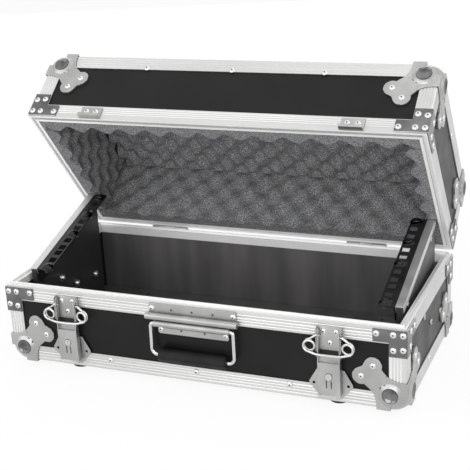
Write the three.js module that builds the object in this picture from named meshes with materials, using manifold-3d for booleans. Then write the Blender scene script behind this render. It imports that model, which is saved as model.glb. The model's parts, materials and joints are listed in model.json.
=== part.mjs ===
// Rack case with a hinged foam-lined lid, sloping rack rails, two draw latches and a spring-bail handle.
// Millimetres, +Z up. The origin is the middle of the floor panel's underside, -Y is the front.
// The lid stands open, as it is used; the latches and the handle are down.
import * as THREE from 'three';
import { mergeVertices } from 'three/addons/utils/BufferGeometryUtils.js';
import Module from 'manifold-3d';

const wasm = await Module();
wasm.setup();

// Whole case, measured over the edge extrusions; its width and depth follow the rack
const baseHeight = 106;
const lidHeight = 107;
const lidOpenDegrees = 52;

// Fits
const seatGap = 0.3;
const runningGap = 0.4;
const cutOverrun = 2;

// Laminated panels and foam
const panelThickness = 7;
const foamThickness = 20;
const foamDentGap = 1;

// Ribbed edge extrusions
const edgeWall = 1.5;
const edgeLeg = 21;
const edgeNose = 1.6;
const grooveCount = 4;
const grooveHalfWidth = 0.95;
const grooveDepth = 0.5;

// Rim extrusions with tongue and groove
const rimInnerWall = 1.4;
const rimInnerLeg = 10;
const rimLand = 1.6;
const rimLandTongueInset = 3;
const tongueWidth = 3;
const tongueHeight = 3;
const tongueTaper = 0.6;
const tongueClearance = 0.6;
const lidGap = 0.6;

// Ball corners
const ballRadius = 26;
const ballInset = 19;
const ballRings = 6;
const dishDepth = 4.6;
const dishFloorRadius = 7;
const dishMouthRadius = 10.5;
const dishMouthDepth = 2.4;
const ballTrimRings = 3;
const lobeStep = 0.5;
const cornerClear = 2;
const leafThickness = 1.4;
const leafNeck = 36;
const leafWaistAlong = 24;
const leafWaistAcross = 44;
const leafBendShare = 0.7;
const leafBendSteps = 2;
const lobeRadius = 11;
const lobeNear = 40;
const lobeFar = 54.5;
const lobeStartDegrees = 200;
const lobeSegments = 4;

// Rim corner braces
const braceThickness = 1.2;
const braceLength = 40;
const braceDrop = 35;
const braceArm = 17.2;
const braceTopMargin = 2;

// Rack boards, channels and strips
const rackHoleHalfSpacing = 232.55;
const rackHoleInset = 7.55;
const rackUnitHeight = 44.45;
const rackUnitCount = 4;
const rackHoleShares = [1 / 7, 1 / 2, 6 / 7];
const rackHoleSize = 9.5;
const stripThickness = 2;
const stripWidth = 20.3;
const stripFlangeDepth = 22;
const slopeDegrees = 17;
const slopeStartInset = 40;
const slopeStartHeight = 112.7;
const channelWall = 1.2;
const channelLeg = 9;
const boardThickness = 7;
const boardToWall = 6.1;
const boardBackInset = 37;
const channelPastStrip = 6.2416;

// Bolts through the walls and rack boards: shares of the case's depth and of the height under the rim's leg
const wallBoltDepthShares = [0.38, 0.526, 0.738];
const wallBoltHeightShares = [0.94, 0.67, 0.59];
const boltRadius = 2.5;
const boltHeadRadius = 4.2;
const boltHeadHeight = 2.6;
const domeNutRadius = 5;
const domeNutLength = 4;
const domeRadius = 3.8;
const spacerRadius = 6;
const headTopShare = 0.6;
const domeShoulderShare = 0.7;

// Screws that hold the strips to the boards, as shares of the strip's length and a drop below the slope
const stripScrewShares = [0.124, 0.866];
const stripScrewDrop = 13.7;
const stripScrewRadius = 2;
const stripScrewHeadRadius = 4;
const stripScrewHeadHeight = 1.8;

// Rack screws in cage nuts
const rackScrewHoleShares = [0, 5 / 11, 8 / 11, 1];
const rackScrewRadius = 3;
const rackScrewHeadRadius = 5;
const rackScrewHeadHeight = 3;
const cupWasherRadius = 8;
const cupWasherHeight = 2;
const cageNutHalf = 5.6;
const cageNutLength = 6;
const washerBaseShare = 0.85;

// Rubber feet and their screws
const footRadius = 14;
const footShoulder = 5;
const footHeight = 9;
const footBevelShare = 1 / 3;
const footToCorner = 9.5;
const footInset = 25.5;
const footRecessRadius = 5.5;
const footRecessDepth = 5;
const footScrewRadius = 2.2;
const footScrewHeadRadius = 4.2;
const footScrewHeadHeight = 2.2;

// Front handle
const handlePlateThickness = 1.5;
const handleUpperHalf = 59;
const handleUpperLeaf = 15.5;
const handleUpperRollHalf = 62;
const handleRollPitch = 9.5;
const handleLowerLeaf = 15;
const handleAxisHeight = 76.5;
const handleAxisOut = 6.2;
const handleRollRadius = 4.4;
const handleRodRadius = 2.6;
const handleArmHalf = 56;
const handleDrop = 42;
const handleBend = 8;
const gripRadius = 8.6;
const gripClearance = 2;
const gripEndRound = 2;

// Draw latches
const latchToCorner = 10.5;
const bracketHalf = 15.5;
const bracketOverPivot = 5;
const bracketBottom = 67;
const bracketWall = 1.2;
const flangeOut = 8.9;
const flangeBottom = 58.5;
const flangeSlotDegrees = [-75, -255];
const leverPivotHeight = 92.5;
const leverPivotOut = 5.4;
const leverCrank = 6.5;
const leverPinRadius = 1.5;
const leverPinHeadRadius = 3;
const leverPinHeadHeight = 1;
const leverArmRadius = 3.4;
const leverWall = 1.2;
const leverOut = 10;
const leverBack = 3;
const leverBottom = 7.5;
const leverTop = 60.5;
const leverStep = 53;
const leverStepDepth = 4.5;
const leverLip = 2.2;
const lockHeight = 35.5;
const lockRadius = 4.2;
const lockProud = 0.8;
const lockKeySlotWidth = 1;
const lockKeySlotLength = 5;
const lockCamLength = 9;
const lockCamThickness = 1.5;
const lockCamTailShare = 1 / 3;
const leverSlotWidth = 1.2;
const leverSlotLength = 10;
const leverSlotDrop = 5.5;
const leverSlotHalfSpacing = 3;
const wireRadius = 1.6;
const bailCoilRadius = 7;
const bailCoilHeight = 74.5;
const bailCoilHalfSpacing = 26;
const bailCoilTurns = 1.5;
const bailStepsPerTurn = 8;
const bailCoilPitch = 3.7;
const bailBarHeight = 63.5;
const bailShoulder = 18.5;
const bailStubInside = 1.2;
const neckHalf = 12.5;
const earHalf = 27.5;
const earHoleHalf = 21.5;
const earHeight = 21.5;
const earHoleRadius = 1.8;
const earTop = 41;
const earBottom = 3;
const earShoulder = 17;
const earRoundDegrees = [-70, 25];

// Keepers on the lid
const keeperHalf = 15;
const keeperBottom = 1;
const keeperTop = 18;
const keeperOut = 7.2;
const keeperHook = 3.2;

// Hinges
const hingeSideInset = 119;
const hingeHalfLength = 27;
const hingeLeafHeight = 19;
const hingeLeafThickness = 1.5;
const hingeKnuckleRadius = 3.2;
const hingeBoreRadius = 1.8;
const hingePinRadius = 1.5;
const hingeAxisOut = 4.2;
const hingeKnuckleShare = 1 / 3;
const hingePinHeadShare = 0.8;

// Places worked out from the sizes above
const recess = edgeWall + seatGap;
const wallInset = recess + panelThickness;
const rackOpeningHalf = rackHoleHalfSpacing - rackHoleInset;
const stripOuterHalf = rackOpeningHalf + stripWidth;
const channelInnerHalf = stripOuterHalf + seatGap;
const boardInnerHalf = channelInnerHalf + channelWall + seatGap;
const boardOuterHalf = boardInnerHalf + boardThickness;
const channelOuterHalf = boardOuterHalf + seatGap + channelWall;
const sideX = boardOuterHalf + boardToWall + wallInset;
const slope = THREE.MathUtils.degToRad(slopeDegrees);
const stripLength = rackUnitHeight * rackUnitCount;
const channelLength = stripLength + channelPastStrip;
const caseDepth = slopeStartInset + channelLength * Math.cos(slope) + boardBackInset;
const footX = sideX - lobeFar - lobeRadius - footToCorner - footRadius;
const bracketTop = leverPivotHeight + bracketOverPivot;
const latchX = sideX - lobeFar - lobeRadius - latchToCorner - bracketHalf;
const hingeX = sideX - hingeSideInset;
const frontY = -caseDepth / 2;
const backY = caseDepth / 2;
const bottomZ = -recess;
const rimZ = bottomZ + baseHeight;
const lidRimZ = rimZ + lidGap;
const lidTopZ = lidRimZ + lidHeight;
const rimSlotInset = wallInset + seatGap;
const rimDepth = rimSlotInset + rimInnerWall;
const hingeY = backY + hingeAxisOut;
const hingeZ = (rimZ + lidRimZ) / 2;

// Finishes
function finish(color, roughness, metalness) {
  return new THREE.MeshStandardMaterial({ color, roughness, metalness, flatShading: true });
}
const laminate = finish(0x242325, 0.5, 0);
const aluminium = finish(0xcfcfcc, 0.35, 0.9);
const zinc = finish(0xb4b4b4, 0.35, 0.9);
const chrome = finish(0xd8d8d6, 0.15, 1);
const blackSteel = finish(0x1b1b1c, 0.45, 0.4);
const blackRubber = finish(0x161616, 0.8, 0);
const foam = finish(0x47484a, 0.95, 0);

// Geometry with shared corners, no needle-thin leftovers and its faces pointing out
function closed(geometry) {
  const loose = geometry.index ? geometry.toNonIndexed() : geometry.clone();
  for (const name of Object.keys(loose.attributes)) {
    if (name !== 'position') {
      loose.deleteAttribute(name);
    }
  }
  loose.clearGroups();
  const shared = mergeVertices(loose);
  const corners = shared.index.array;
  const kept = [];
  for (let n = 0; n < corners.length; n += 3) {
    const [a, b, c] = [corners[n], corners[n + 1], corners[n + 2]];
    if (a !== b && b !== c && c !== a) {
      kept.push(a, b, c);
    }
  }
  const spots = shared.getAttribute('position');
  const [p, q, r] = [new THREE.Vector3(), new THREE.Vector3(), new THREE.Vector3()];
  let volume = 0;
  for (let n = 0; n < kept.length; n += 3) {
    p.fromBufferAttribute(spots, kept[n]);
    q.fromBufferAttribute(spots, kept[n + 1]);
    r.fromBufferAttribute(spots, kept[n + 2]);
    volume += p.dot(q.cross(r));
  }
  if (volume < 0) {
    kept.reverse();
  }
  shared.setIndex(kept);
  return shared;
}

// The same geometry with every point moved by a rule
function mapped(geometry, place) {
  const moved = geometry.clone();
  const spots = moved.getAttribute('position');
  for (let n = 0; n < spots.count; n += 1) {
    const to = place(new THREE.Vector3().fromBufferAttribute(spots, n));
    spots.setXYZ(n, to.x, to.y, to.z);
  }
  return closed(moved);
}

function shifted(geometry, x, y, z) {
  return mapped(geometry, (p) => p.add(new THREE.Vector3(x, y, z)));
}

function mirroredX(geometry) {
  return mapped(geometry, (p) => new THREE.Vector3(-p.x, p.y, p.z));
}

function toSolid(geometry) {
  const shell = closed(geometry);
  return new wasm.Manifold(new wasm.Mesh({
    numProp: 3,
    vertProperties: new Float32Array(shell.getAttribute('position').array),
    triVerts: new Uint32Array(shell.index.array),
  }));
}

function fromSolid(solid) {
  const mesh = solid.getMesh();
  const geometry = new THREE.BufferGeometry();
  geometry.setAttribute('position', new THREE.BufferAttribute(new Float32Array(mesh.vertProperties), 3));
  geometry.setIndex(new THREE.BufferAttribute(new Uint32Array(mesh.triVerts), 1));
  return geometry;
}

function joined(list) {
  return fromSolid(list.map(toSolid).reduce((whole, part) => whole.add(part)));
}

function cut(geometry, tools) {
  return fromSolid(tools.map(toSolid).reduce((whole, tool) => whole.subtract(tool), toSolid(geometry)));
}

function block(x0, x1, y0, y1, z0, z1) {
  const box = new THREE.BoxGeometry(x1 - x0, y1 - y0, z1 - z0);
  return shifted(box, (x0 + x1) / 2, (y0 + y1) / 2, (z0 + z1) / 2);
}

function outline(points) {
  return new THREE.Shape(points.map(([x, y]) => new THREE.Vector2(x, y)));
}

// A prism of a flat outline; its points (u, v, t) are placed by a rule, with t from 0 to 1
function prism(shape, place) {
  return mapped(new THREE.ExtrudeGeometry(shape, { depth: 1, bevelEnabled: false }), place);
}

// An outline drawn in Y and Z, given its width along X
function sideways(points, x0, x1) {
  const shape = points instanceof THREE.Shape ? points : outline(points);
  return prism(shape, (p) => new THREE.Vector3(x0 + (x1 - x0) * p.z, p.x, p.y));
}

// An outline drawn in X and Z, given its depth along Y
function frontal(points, y0, y1) {
  const shape = points instanceof THREE.Shape ? points : outline(points);
  return prism(shape, (p) => new THREE.Vector3(p.x, y0 + (y1 - y0) * p.z, p.y));
}

// A turned piece: its profile is radius against height, its axis is +Z
function turned(profile, segments) {
  const lathe = new THREE.LatheGeometry(profile.map(([r, h]) => new THREE.Vector2(r, h)), segments);
  return mapped(lathe, (p) => new THREE.Vector3(p.x, -p.z, p.y));
}

function rodAlongX(radius, x0, x1, segments) {
  const rod = turned([[0, x0], [radius, x0], [radius, x1], [0, x1]], segments);
  return mapped(rod, (p) => new THREE.Vector3(p.z, p.y, -p.x));
}

// A round wire through a list of points
function wire(points, radius, sides) {
  const spots = [];
  const faces = [];
  const last = points.length - 1;
  let normal = new THREE.Vector3(0, 0, 1);
  points.forEach((point, n) => {
    const before = points[Math.max(n - 1, 0)];
    const after = points[Math.min(n + 1, last)];
    const along = after.clone().sub(before).normalize();
    normal = normal.sub(along.clone().multiplyScalar(normal.dot(along)));
    if (normal.length() < Number.EPSILON) {
      normal = new THREE.Vector3(0, 1, 0);
    }
    normal.normalize();
    const across = along.clone().cross(normal);
    for (let k = 0; k < sides; k += 1) {
      const turn = (2 * Math.PI * k) / sides;
      const spot = point.clone();
      spot.addScaledVector(normal, radius * Math.cos(turn));
      spot.addScaledVector(across, radius * Math.sin(turn));
      spots.push(spot.x, spot.y, spot.z);
    }
  });
  for (let n = 0; n < last; n += 1) {
    for (let k = 0; k < sides; k += 1) {
      const [a, b] = [n * sides + k, n * sides + ((k + 1) % sides)];
      faces.push(a, b, b + sides, a, b + sides, a + sides);
    }
  }
  for (let k = 1; k < sides - 1; k += 1) {
    faces.push(0, k + 1, k);
    faces.push(last * sides, last * sides + k, last * sides + k + 1);
  }
  const geometry = new THREE.BufferGeometry();
  geometry.setAttribute('position', new THREE.BufferAttribute(new Float32Array(spots), 3));
  geometry.setIndex(faces);
  return closed(geometry);
}

function arcPoints(centre, radius, fromDegrees, toDegrees, steps) {
  return Array.from({ length: steps + 1 }, (_, n) => {
    const turn = THREE.MathUtils.degToRad(fromDegrees + ((toDegrees - fromDegrees) * n) / steps);
    return [centre[0] + radius * Math.cos(turn), centre[1] + radius * Math.sin(turn)];
  });
}

const rackCase = new THREE.Group();

function piece(name, geometry, material, parent) {
  const mesh = new THREE.Mesh(closed(geometry), material);
  mesh.name = name;
  parent.add(mesh);
}

// The right-hand piece and its mirror image
function twins(name, geometry, material, parent) {
  piece(`${name}_right`, geometry, material, parent);
  piece(`${name}_left`, mirroredX(geometry), material, parent);
}

// Everything on the lid is drawn as if the lid were shut, inside a group that turns about the hinge line
const lid = new THREE.Group();
const lidHinge = new THREE.Group();
lidHinge.position.set(0, hingeY, hingeZ);
lidHinge.rotation.x = -THREE.MathUtils.degToRad(lidOpenDegrees);
lid.position.set(0, -hingeY, -hingeZ);
lidHinge.add(lid);
rackCase.add(lidHinge);

// Panels: plywood with a laminate skin, butted inside the edge extrusions
function wallPanels(low, high) {
  const outerX = sideX - recess;
  const outerY = backY - recess;
  const betweenX = outerX - panelThickness - seatGap;
  return {
    front: block(-betweenX, betweenX, -outerY, -outerY + panelThickness, low, high),
    back: block(-betweenX, betweenX, outerY - panelThickness, outerY, low, high),
    right: block(outerX - panelThickness, outerX, -outerY, outerY, low, high),
  };
}

// Copies of a right-hand cross piece at the places of the wall bolts
function atWallBolts(geometry) {
  return wallBoltDepthShares.map((share, n) => (
    shifted(geometry, 0, frontY + share * caseDepth, wallBoltHeightShares[n] * (rimZ - edgeLeg))));
}

// Cuts the case's corners back for the balls
function cornersTrimmed(geometry, planeZ, up) {
  const tool = beyondBall(ballRadius - leafThickness - cornerClear, ballInset + seatGap, ballTrimRings);
  return cut(geometry, fourCorners.map((corner) => toCorner(tool, corner, planeZ, up)));
}

function basePanels() {
  const walls = wallPanels(panelThickness + seatGap, rimZ - rimLand - seatGap);
  const outerX = sideX - recess;
  const outerY = backY - recess;
  const floor = block(-outerX, outerX, -outerY, outerY, 0, panelThickness);
  const footHoles = fourCorners.map(footPlace).map(([x, y]) => shifted(
    turned([[0, -cutOverrun], [footScrewRadius + seatGap, -cutOverrun],
      [footScrewRadius + seatGap, panelThickness + cutOverrun], [0, panelThickness + cutOverrun]], 10),
    x, y, 0));
  const boltHoles = atWallBolts(rodAlongX(boltRadius + seatGap,
    outerX - panelThickness - cutOverrun, outerX + cutOverrun, 6));
  piece('base_floor', cornersTrimmed(cut(floor, footHoles), bottomZ, 1), laminate, rackCase);
  piece('base_front_panel', walls.front, laminate, rackCase);
  piece('base_back_panel', walls.back, laminate, rackCase);
  const sideWall = cornersTrimmed(cut(walls.right, boltHoles), bottomZ, 1);
  piece('base_right_panel', sideWall, laminate, rackCase);
  piece('base_left_panel', mirroredX(sideWall), laminate, rackCase);
}

// The top panel lies over the lid's walls, and the walls reach down into the rim's slot
const lidSlotDepth = tongueHeight + tongueClearance + rimLand;

function lidPanels() {
  const outerX = sideX - recess;
  const outerY = backY - recess;
  const topLow = lidTopZ - wallInset;
  const walls = wallPanels(lidRimZ + lidSlotDepth + seatGap, topLow - seatGap);
  const top = block(-outerX, outerX, -outerY, outerY, topLow, topLow + panelThickness);
  const sideWall = cornersTrimmed(walls.right, lidTopZ, -1);
  piece('lid_top_panel', cornersTrimmed(top, lidTopZ, -1), laminate, lid);
  piece('lid_front_panel', walls.front, laminate, lid);
  piece('lid_back_panel', walls.back, laminate, lid);
  piece('lid_right_panel', sideWall, laminate, lid);
  piece('lid_left_panel', mirroredX(sideWall), laminate, lid);
}

// A straight face with rib grooves pressed into it
function ribbed(start, end, point) {
  const way = Math.sign(end - start);
  const pitch = (end - start) / (grooveCount + 1);
  const line = [point(start, 0)];
  for (let n = 1; n <= grooveCount; n += 1) {
    const middle = start + n * pitch;
    line.push(point(middle - way * grooveHalfWidth, 0));
    line.push(point(middle, grooveDepth));
    line.push(point(middle + way * grooveHalfWidth, 0));
  }
  line.push(point(end, 0));
  return line;
}

// Angle extrusion: two ribbed legs, drawn as insets from the two faces that it covers
const anglePoints = [
  ...ribbed(edgeLeg, edgeNose, (s, d) => [s, d]),
  ...ribbed(edgeNose, edgeLeg, (s, d) => [d, s]),
  [edgeWall, edgeLeg],
  [edgeWall, edgeWall],
  [edgeLeg, edgeWall],
];

// A profile carried round the four sides of the case and mitred at the corners.
// Its points are the inset from the walls' outer planes and the distance from a level plane.
function frameRing(points, planeZ, up) {
  const spots = [];
  const faces = [];
  for (const [a, b] of [[-1, -1], [1, -1], [1, 1], [-1, 1]]) {
    for (const [inset, distance] of points) {
      spots.push(a * (sideX - inset), b * (backY - inset), planeZ + up * distance);
    }
  }
  const count = points.length;
  for (let corner = 0; corner < 4; corner += 1) {
    const [here, there] = [corner * count, ((corner + 1) % 4) * count];
    for (let n = 0; n < count; n += 1) {
      const m = (n + 1) % count;
      faces.push(here + n, here + m, there + m, here + n, there + m, there + n);
    }
  }
  const geometry = new THREE.BufferGeometry();
  geometry.setAttribute('position', new THREE.BufferAttribute(new Float32Array(spots), 3));
  geometry.setIndex(faces);
  return closed(geometry);
}

const bothSides = [-1, 1];
const fourCorners = [['front', -1], ['back', 1]].flatMap(([end, back]) => (
  [['left', -1], ['right', 1]].map(([hand, right]) => ({ name: `${end}_${hand}`, right, back }))));

// Moves a shape drawn for a corner at the origin to one of a box's corners
function toCorner(geometry, corner, planeZ, up) {
  return mapped(geometry, (p) => new THREE.Vector3(
    corner.right * (sideX - p.x), corner.back * (backY - p.y), planeZ + up * p.z));
}

// Edge extrusions: the level lengths meet under the ball corners, the uprights stop at the rim's leg
function edgeFrame(planeZ, up, height) {
  const foot = edgeLeg - seatGap;
  const head = height - edgeLeg - seatGap;
  const upright = prism(outline(anglePoints), (p) => (
    new THREE.Vector3(p.x, p.y, foot + (head - foot) * p.z)));
  return cornersTrimmed(joined([
    frameRing(anglePoints, planeZ, up),
    ...fourCorners.map((corner) => toCorner(upright, corner, planeZ, up)),
  ]), planeZ, up);
}

// Rim extrusions, drawn as inset from the wall's outer face against depth behind the rim plane
const baseRimPoints = [
  [0, 0],
  [rimLandTongueInset, 0],
  [rimLandTongueInset + tongueTaper, -tongueHeight],
  [rimLandTongueInset + tongueWidth - tongueTaper, -tongueHeight],
  [rimLandTongueInset + tongueWidth, 0],
  [rimDepth, 0],
  [rimDepth, rimInnerLeg],
  [rimSlotInset, rimInnerLeg],
  [rimSlotInset, rimLand],
  [edgeWall, rimLand],
  [edgeWall, edgeLeg],
  ...ribbed(edgeLeg, rimLand, (s, d) => [d, s]),
];

const lidRimPoints = [
  [0, 0],
  [rimLandTongueInset - tongueClearance, 0],
  [rimLandTongueInset - tongueClearance, tongueHeight + tongueClearance],
  [rimLandTongueInset + tongueWidth + tongueClearance, tongueHeight + tongueClearance],
  [rimLandTongueInset + tongueWidth + tongueClearance, 0],
  [rimDepth, 0],
  [rimDepth, rimInnerLeg],
  [rimSlotInset, rimInnerLeg],
  [rimSlotInset, lidSlotDepth],
  [edgeWall, lidSlotDepth],
  [edgeWall, edgeLeg],
  ...ribbed(edgeLeg, lidSlotDepth, (s, d) => [d, s]),
];

// Rim corner brace: a bent plate with an L on both faces, tight on the rim's leg and just off the upright
function rimBrace() {
  const outer = seatGap + braceThickness;
  const ell = outline([
    [-outer, braceTopMargin],
    [braceLength, braceTopMargin],
    [braceLength, braceTopMargin + braceArm],
    [edgeLeg - seatGap, braceTopMargin + braceArm],
    [edgeLeg - seatGap, braceTopMargin + braceDrop],
    [-outer, braceTopMargin + braceDrop],
  ]);
  const low = braceTopMargin + grooveHalfWidth;
  const high = braceTopMargin + braceArm - grooveHalfWidth;
  const onFront = joined([
    prism(ell, (p) => new THREE.Vector3(p.x, -outer + braceThickness * p.z, p.y)),
    block(-outer, braceLength - grooveHalfWidth, -outer + braceThickness / 2, edgeWall / 4, low, high),
  ]);
  const onSide = mapped(onFront, (p) => new THREE.Vector3(p.y, p.x, p.z));
  return joined([onFront, onSide]);
}

function rimFrame(points, planeZ, up) {
  const brace = rimBrace();
  return joined([
    frameRing(points, planeZ, up),
    ...fourCorners.map((corner) => toCorner(brace, corner, planeZ, up)),
  ]);
}

function edgesAndRims() {
  piece('base_edge_frame', edgeFrame(bottomZ, 1, baseHeight), aluminium, rackCase);
  piece('base_rim_frame', rimFrame(baseRimPoints, rimZ, -1), aluminium, rackCase);
  piece('lid_edge_frame', edgeFrame(lidTopZ, -1, lidHeight), aluminium, lid);
  piece('lid_rim_frame', rimFrame(lidRimPoints, lidRimZ, 1), aluminium, lid);
}

// Ball corner, pressed from sheet: three two-lobed leaves meet in a dished ball.
// Drawn for a corner at (0, 0, 0) with the case on the positive side of all three axes.
function leafOutline() {
  const lap = leafThickness + seatGap;
  const meet = (lobeNear + lobeFar) / 2;
  const reach = (lobeFar - lobeNear) / 2;
  const notch = meet + Math.sqrt(lobeRadius ** 2 / 2 - reach ** 2);
  const endDegrees = THREE.MathUtils.radToDeg(Math.atan2(notch - lobeFar, notch - lobeNear));
  const lobe = arcPoints([lobeNear, lobeFar], lobeRadius, lobeStartDegrees, endDegrees, lobeSegments);
  const bend = [];
  const control = [leafWaistAlong * leafBendShare, leafNeck];
  for (let n = 0; n <= leafBendSteps; n += 1) {
    const t = n / leafBendSteps;
    bend.push([
      2 * t * (1 - t) * control[0] + t * t * leafWaistAlong,
      (1 - t) * (1 - t) * leafNeck + 2 * t * (1 - t) * control[1] + t * t * leafWaistAcross,
    ]);
  }
  const half = [[-lap, leafNeck], ...bend, ...lobe];
  const other = half.slice(0, -1).reverse().map(([a, b]) => [b, a]);
  return [...half, ...other, [-lap, -lap]];
}

function ballOf(radius, rings) {
  return shifted(new THREE.SphereGeometry(radius, 2 * rings, rings), ballInset, ballInset, ballInset);
}

// Three copies of a piece, one on each face of a corner
function onThreeFaces(geometry) {
  return [
    geometry,
    mapped(geometry, (p) => new THREE.Vector3(p.z, p.x, p.y)),
    mapped(geometry, (p) => new THREE.Vector3(p.y, p.z, p.x)),
  ];
}

// What lies outside a ball in the cube at the case's very corner
function beyondBall(radius, edge, rings) {
  const low = -leafThickness - cutOverrun;
  return cut(block(low, edge, low, edge, low, edge), [ballOf(radius, rings)]);
}

// The leaves' necks lie over the extrusions, their lobes step down to the panels
function ballCorner() {
  const shape = outline(leafOutline());
  const outFace = -(seatGap + leafThickness);
  const lobeFloor = edgeWall;
  const onStep = edgeLeg + seatGap;
  const lapOver = onStep + 2 * leafThickness;
  const far = lobeFar + lobeRadius + cutOverrun;
  const flat = prism(shape, (p) => new THREE.Vector3(p.x, p.y, outFace + leafThickness * p.z));
  const neck = cut(flat, [block(lapOver, far, lapOver, far, outFace - cutOverrun, cutOverrun)]);
  const lobeBlock = block(onStep, far, onStep, far, outFace, lobeFloor);
  const lobes = fromSolid(toSolid(prism(shape, (p) => (
    new THREE.Vector3(p.x, p.y, outFace + lobeStep + (lobeFloor - outFace - lobeStep) * p.z))))
    .intersect(toSolid(lobeBlock)));
  const leaves = joined([...onThreeFaces(neck), ...onThreeFaces(lobes)]);

  // The ball's caps stand out of the leaves; at the very corner its shell closes the gap between the edges
  const midLeaf = -(seatGap + leafThickness / 2);
  const past = block(ballInset, far, midLeaf, far, midLeaf, far);
  const hollow = fromSolid(toSolid(ballOf(ballRadius - leafThickness, ballRings))
    .intersect(toSolid(block(-seatGap, far, -seatGap, far, -seatGap, far))));
  const pole = ballInset - ballRadius;
  const flare = (dishMouthRadius - dishFloorRadius) / (dishDepth - dishMouthDepth);
  const dish = shifted(turned([
    [0, 0],
    [dishMouthRadius + flare * dishMouthDepth, 0],
    [dishFloorRadius, dishDepth],
    [0, dishDepth],
  ], 8), ballInset, ballInset, pole);
  const ball = cut(ballOf(ballRadius, ballRings), [...onThreeFaces(past), ...onThreeFaces(dish), hollow]);
  return joined([cut(leaves, [beyondBall(ballRadius, ballInset, ballRings)]), ball]);
}

function ballCorners() {
  const corner = ballCorner();
  for (const place of fourCorners) {
    piece(`base_ball_corner_${place.name}`, toCorner(corner, place, bottomZ, 1), zinc, rackCase);
    piece(`lid_ball_corner_${place.name}`, toCorner(corner, place, lidTopZ, -1), zinc, lid);
  }
}

// Rack slope: along +Y of this group runs up the slope, +Z is square to it, 0 is the strips' mounting face
const rack = new THREE.Group();
rack.position.set(0, frontY + slopeStartInset, slopeStartHeight);
rack.rotation.x = slope;
rackCase.add(rack);

const boardBackY = backY - boardBackInset;

const rackHoles = Array.from({ length: rackUnitCount }, (_, unit) => (
  rackHoleShares.map((share) => (unit + share) * rackUnitHeight))).flat();

// A screw or bolt along X with its head on the outside; its nut is drawn from its own start inwards
function crossBolt(radius, headRadius, headHeight, headX, nutX, nut) {
  const profile = [
    [0, -headX - headHeight],
    [headRadius * headTopShare, -headX - headHeight],
    [headRadius, -headX - headHeight / 2],
    [headRadius, -headX],
    [radius, -headX],
    [radius, -nutX],
    ...nut.map(([r, inward]) => [r, -nutX + inward]),
  ];
  return mapped(turned(profile, 6), (p) => new THREE.Vector3(-p.z, p.y, p.x));
}

const flatNut = [
  [stripScrewHeadRadius, 0],
  [stripScrewHeadRadius, stripScrewHeadHeight + seatGap],
  [0, stripScrewHeadHeight + seatGap],
];
const domeNut = [
  [domeNutRadius, 0],
  [domeNutRadius, domeNutLength],
  [domeRadius, domeNutLength],
  [domeRadius * domeShoulderShare, domeNutLength + domeRadius * domeShoulderShare],
  [0, domeNutLength + domeRadius],
];

// Copies of a right-hand cross piece, drawn on the slope, at the places of the strip screws
function atStripScrews(geometry) {
  return stripScrewShares.map((share) => shifted(geometry, 0, share * stripLength, -stripScrewDrop));
}

// A rack screw on its cup washer, and its cage nut behind the strip, fused with the strip that they clamp
function rackScrew() {
  const back = -stripThickness;
  const top = cupWasherHeight + rackScrewHeadHeight;
  return joined([
    turned([
      [0, -seatGap],
      [cupWasherRadius * washerBaseShare, -seatGap],
      [cupWasherRadius, cupWasherHeight * washerBaseShare],
      [rackScrewHeadRadius, cupWasherHeight],
      [rackScrewHeadRadius * headTopShare, top],
      [0, top],
    ], 6),
    turned([
      [0, back - cageNutLength],
      [rackScrewRadius, back - cageNutLength],
      [rackScrewRadius, 0],
      [0, 0],
    ], 4),
    block(-cageNutHalf, cageNutHalf, -cageNutHalf, cageNutHalf, back - cageNutLength / 2, back + seatGap),
  ]);
}

function rackStrip() {
  const flanges = outline([
    [rackOpeningHalf, 0],
    [stripOuterHalf, 0],
    [stripOuterHalf, -stripFlangeDepth],
    [stripOuterHalf - stripThickness, -stripFlangeDepth],
    [stripOuterHalf - stripThickness, -stripThickness],
    [rackOpeningHalf, -stripThickness],
  ]);
  const bar = prism(flanges, (p) => new THREE.Vector3(p.x, stripLength * p.z, p.y));
  const half = rackHoleSize / 2;
  const last = rackHoles.length - 1;
  const screwHoles = rackScrewHoleShares.map((share) => rackHoles[Math.round(share * last)]);
  const freeHoles = rackHoles.filter((along) => !screwHoles.includes(along));
  const holes = freeHoles.map((along) => block(
    rackHoleHalfSpacing - half, rackHoleHalfSpacing + half,
    along - half, along + half,
    -stripThickness - cutOverrun, cutOverrun));
  const screw = rackScrew();
  const sideScrew = crossBolt(stripScrewRadius, stripScrewHeadRadius, stripScrewHeadHeight,
    boardOuterHalf + seatGap, stripOuterHalf - stripThickness + seatGap, flatNut);
  return joined([
    cut(bar, holes),
    ...screwHoles.map((along) => shifted(screw, rackHoleHalfSpacing, along, 0)),
    ...atStripScrews(sideScrew),
  ]);
}

function rackChannel() {
  const channel = outline([
    [channelInnerHalf, -channelLeg],
    [channelInnerHalf, 0],
    [channelOuterHalf, 0],
    [channelOuterHalf, -channelLeg],
    [channelOuterHalf - channelWall, -channelLeg],
    [channelOuterHalf - channelWall, -channelWall],
    [channelInnerHalf + channelWall, -channelWall],
    [channelInnerHalf + channelWall, -channelLeg],
  ]);
  return prism(channel, (p) => new THREE.Vector3(p.x, channelLength * p.z, p.y));
}

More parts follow.
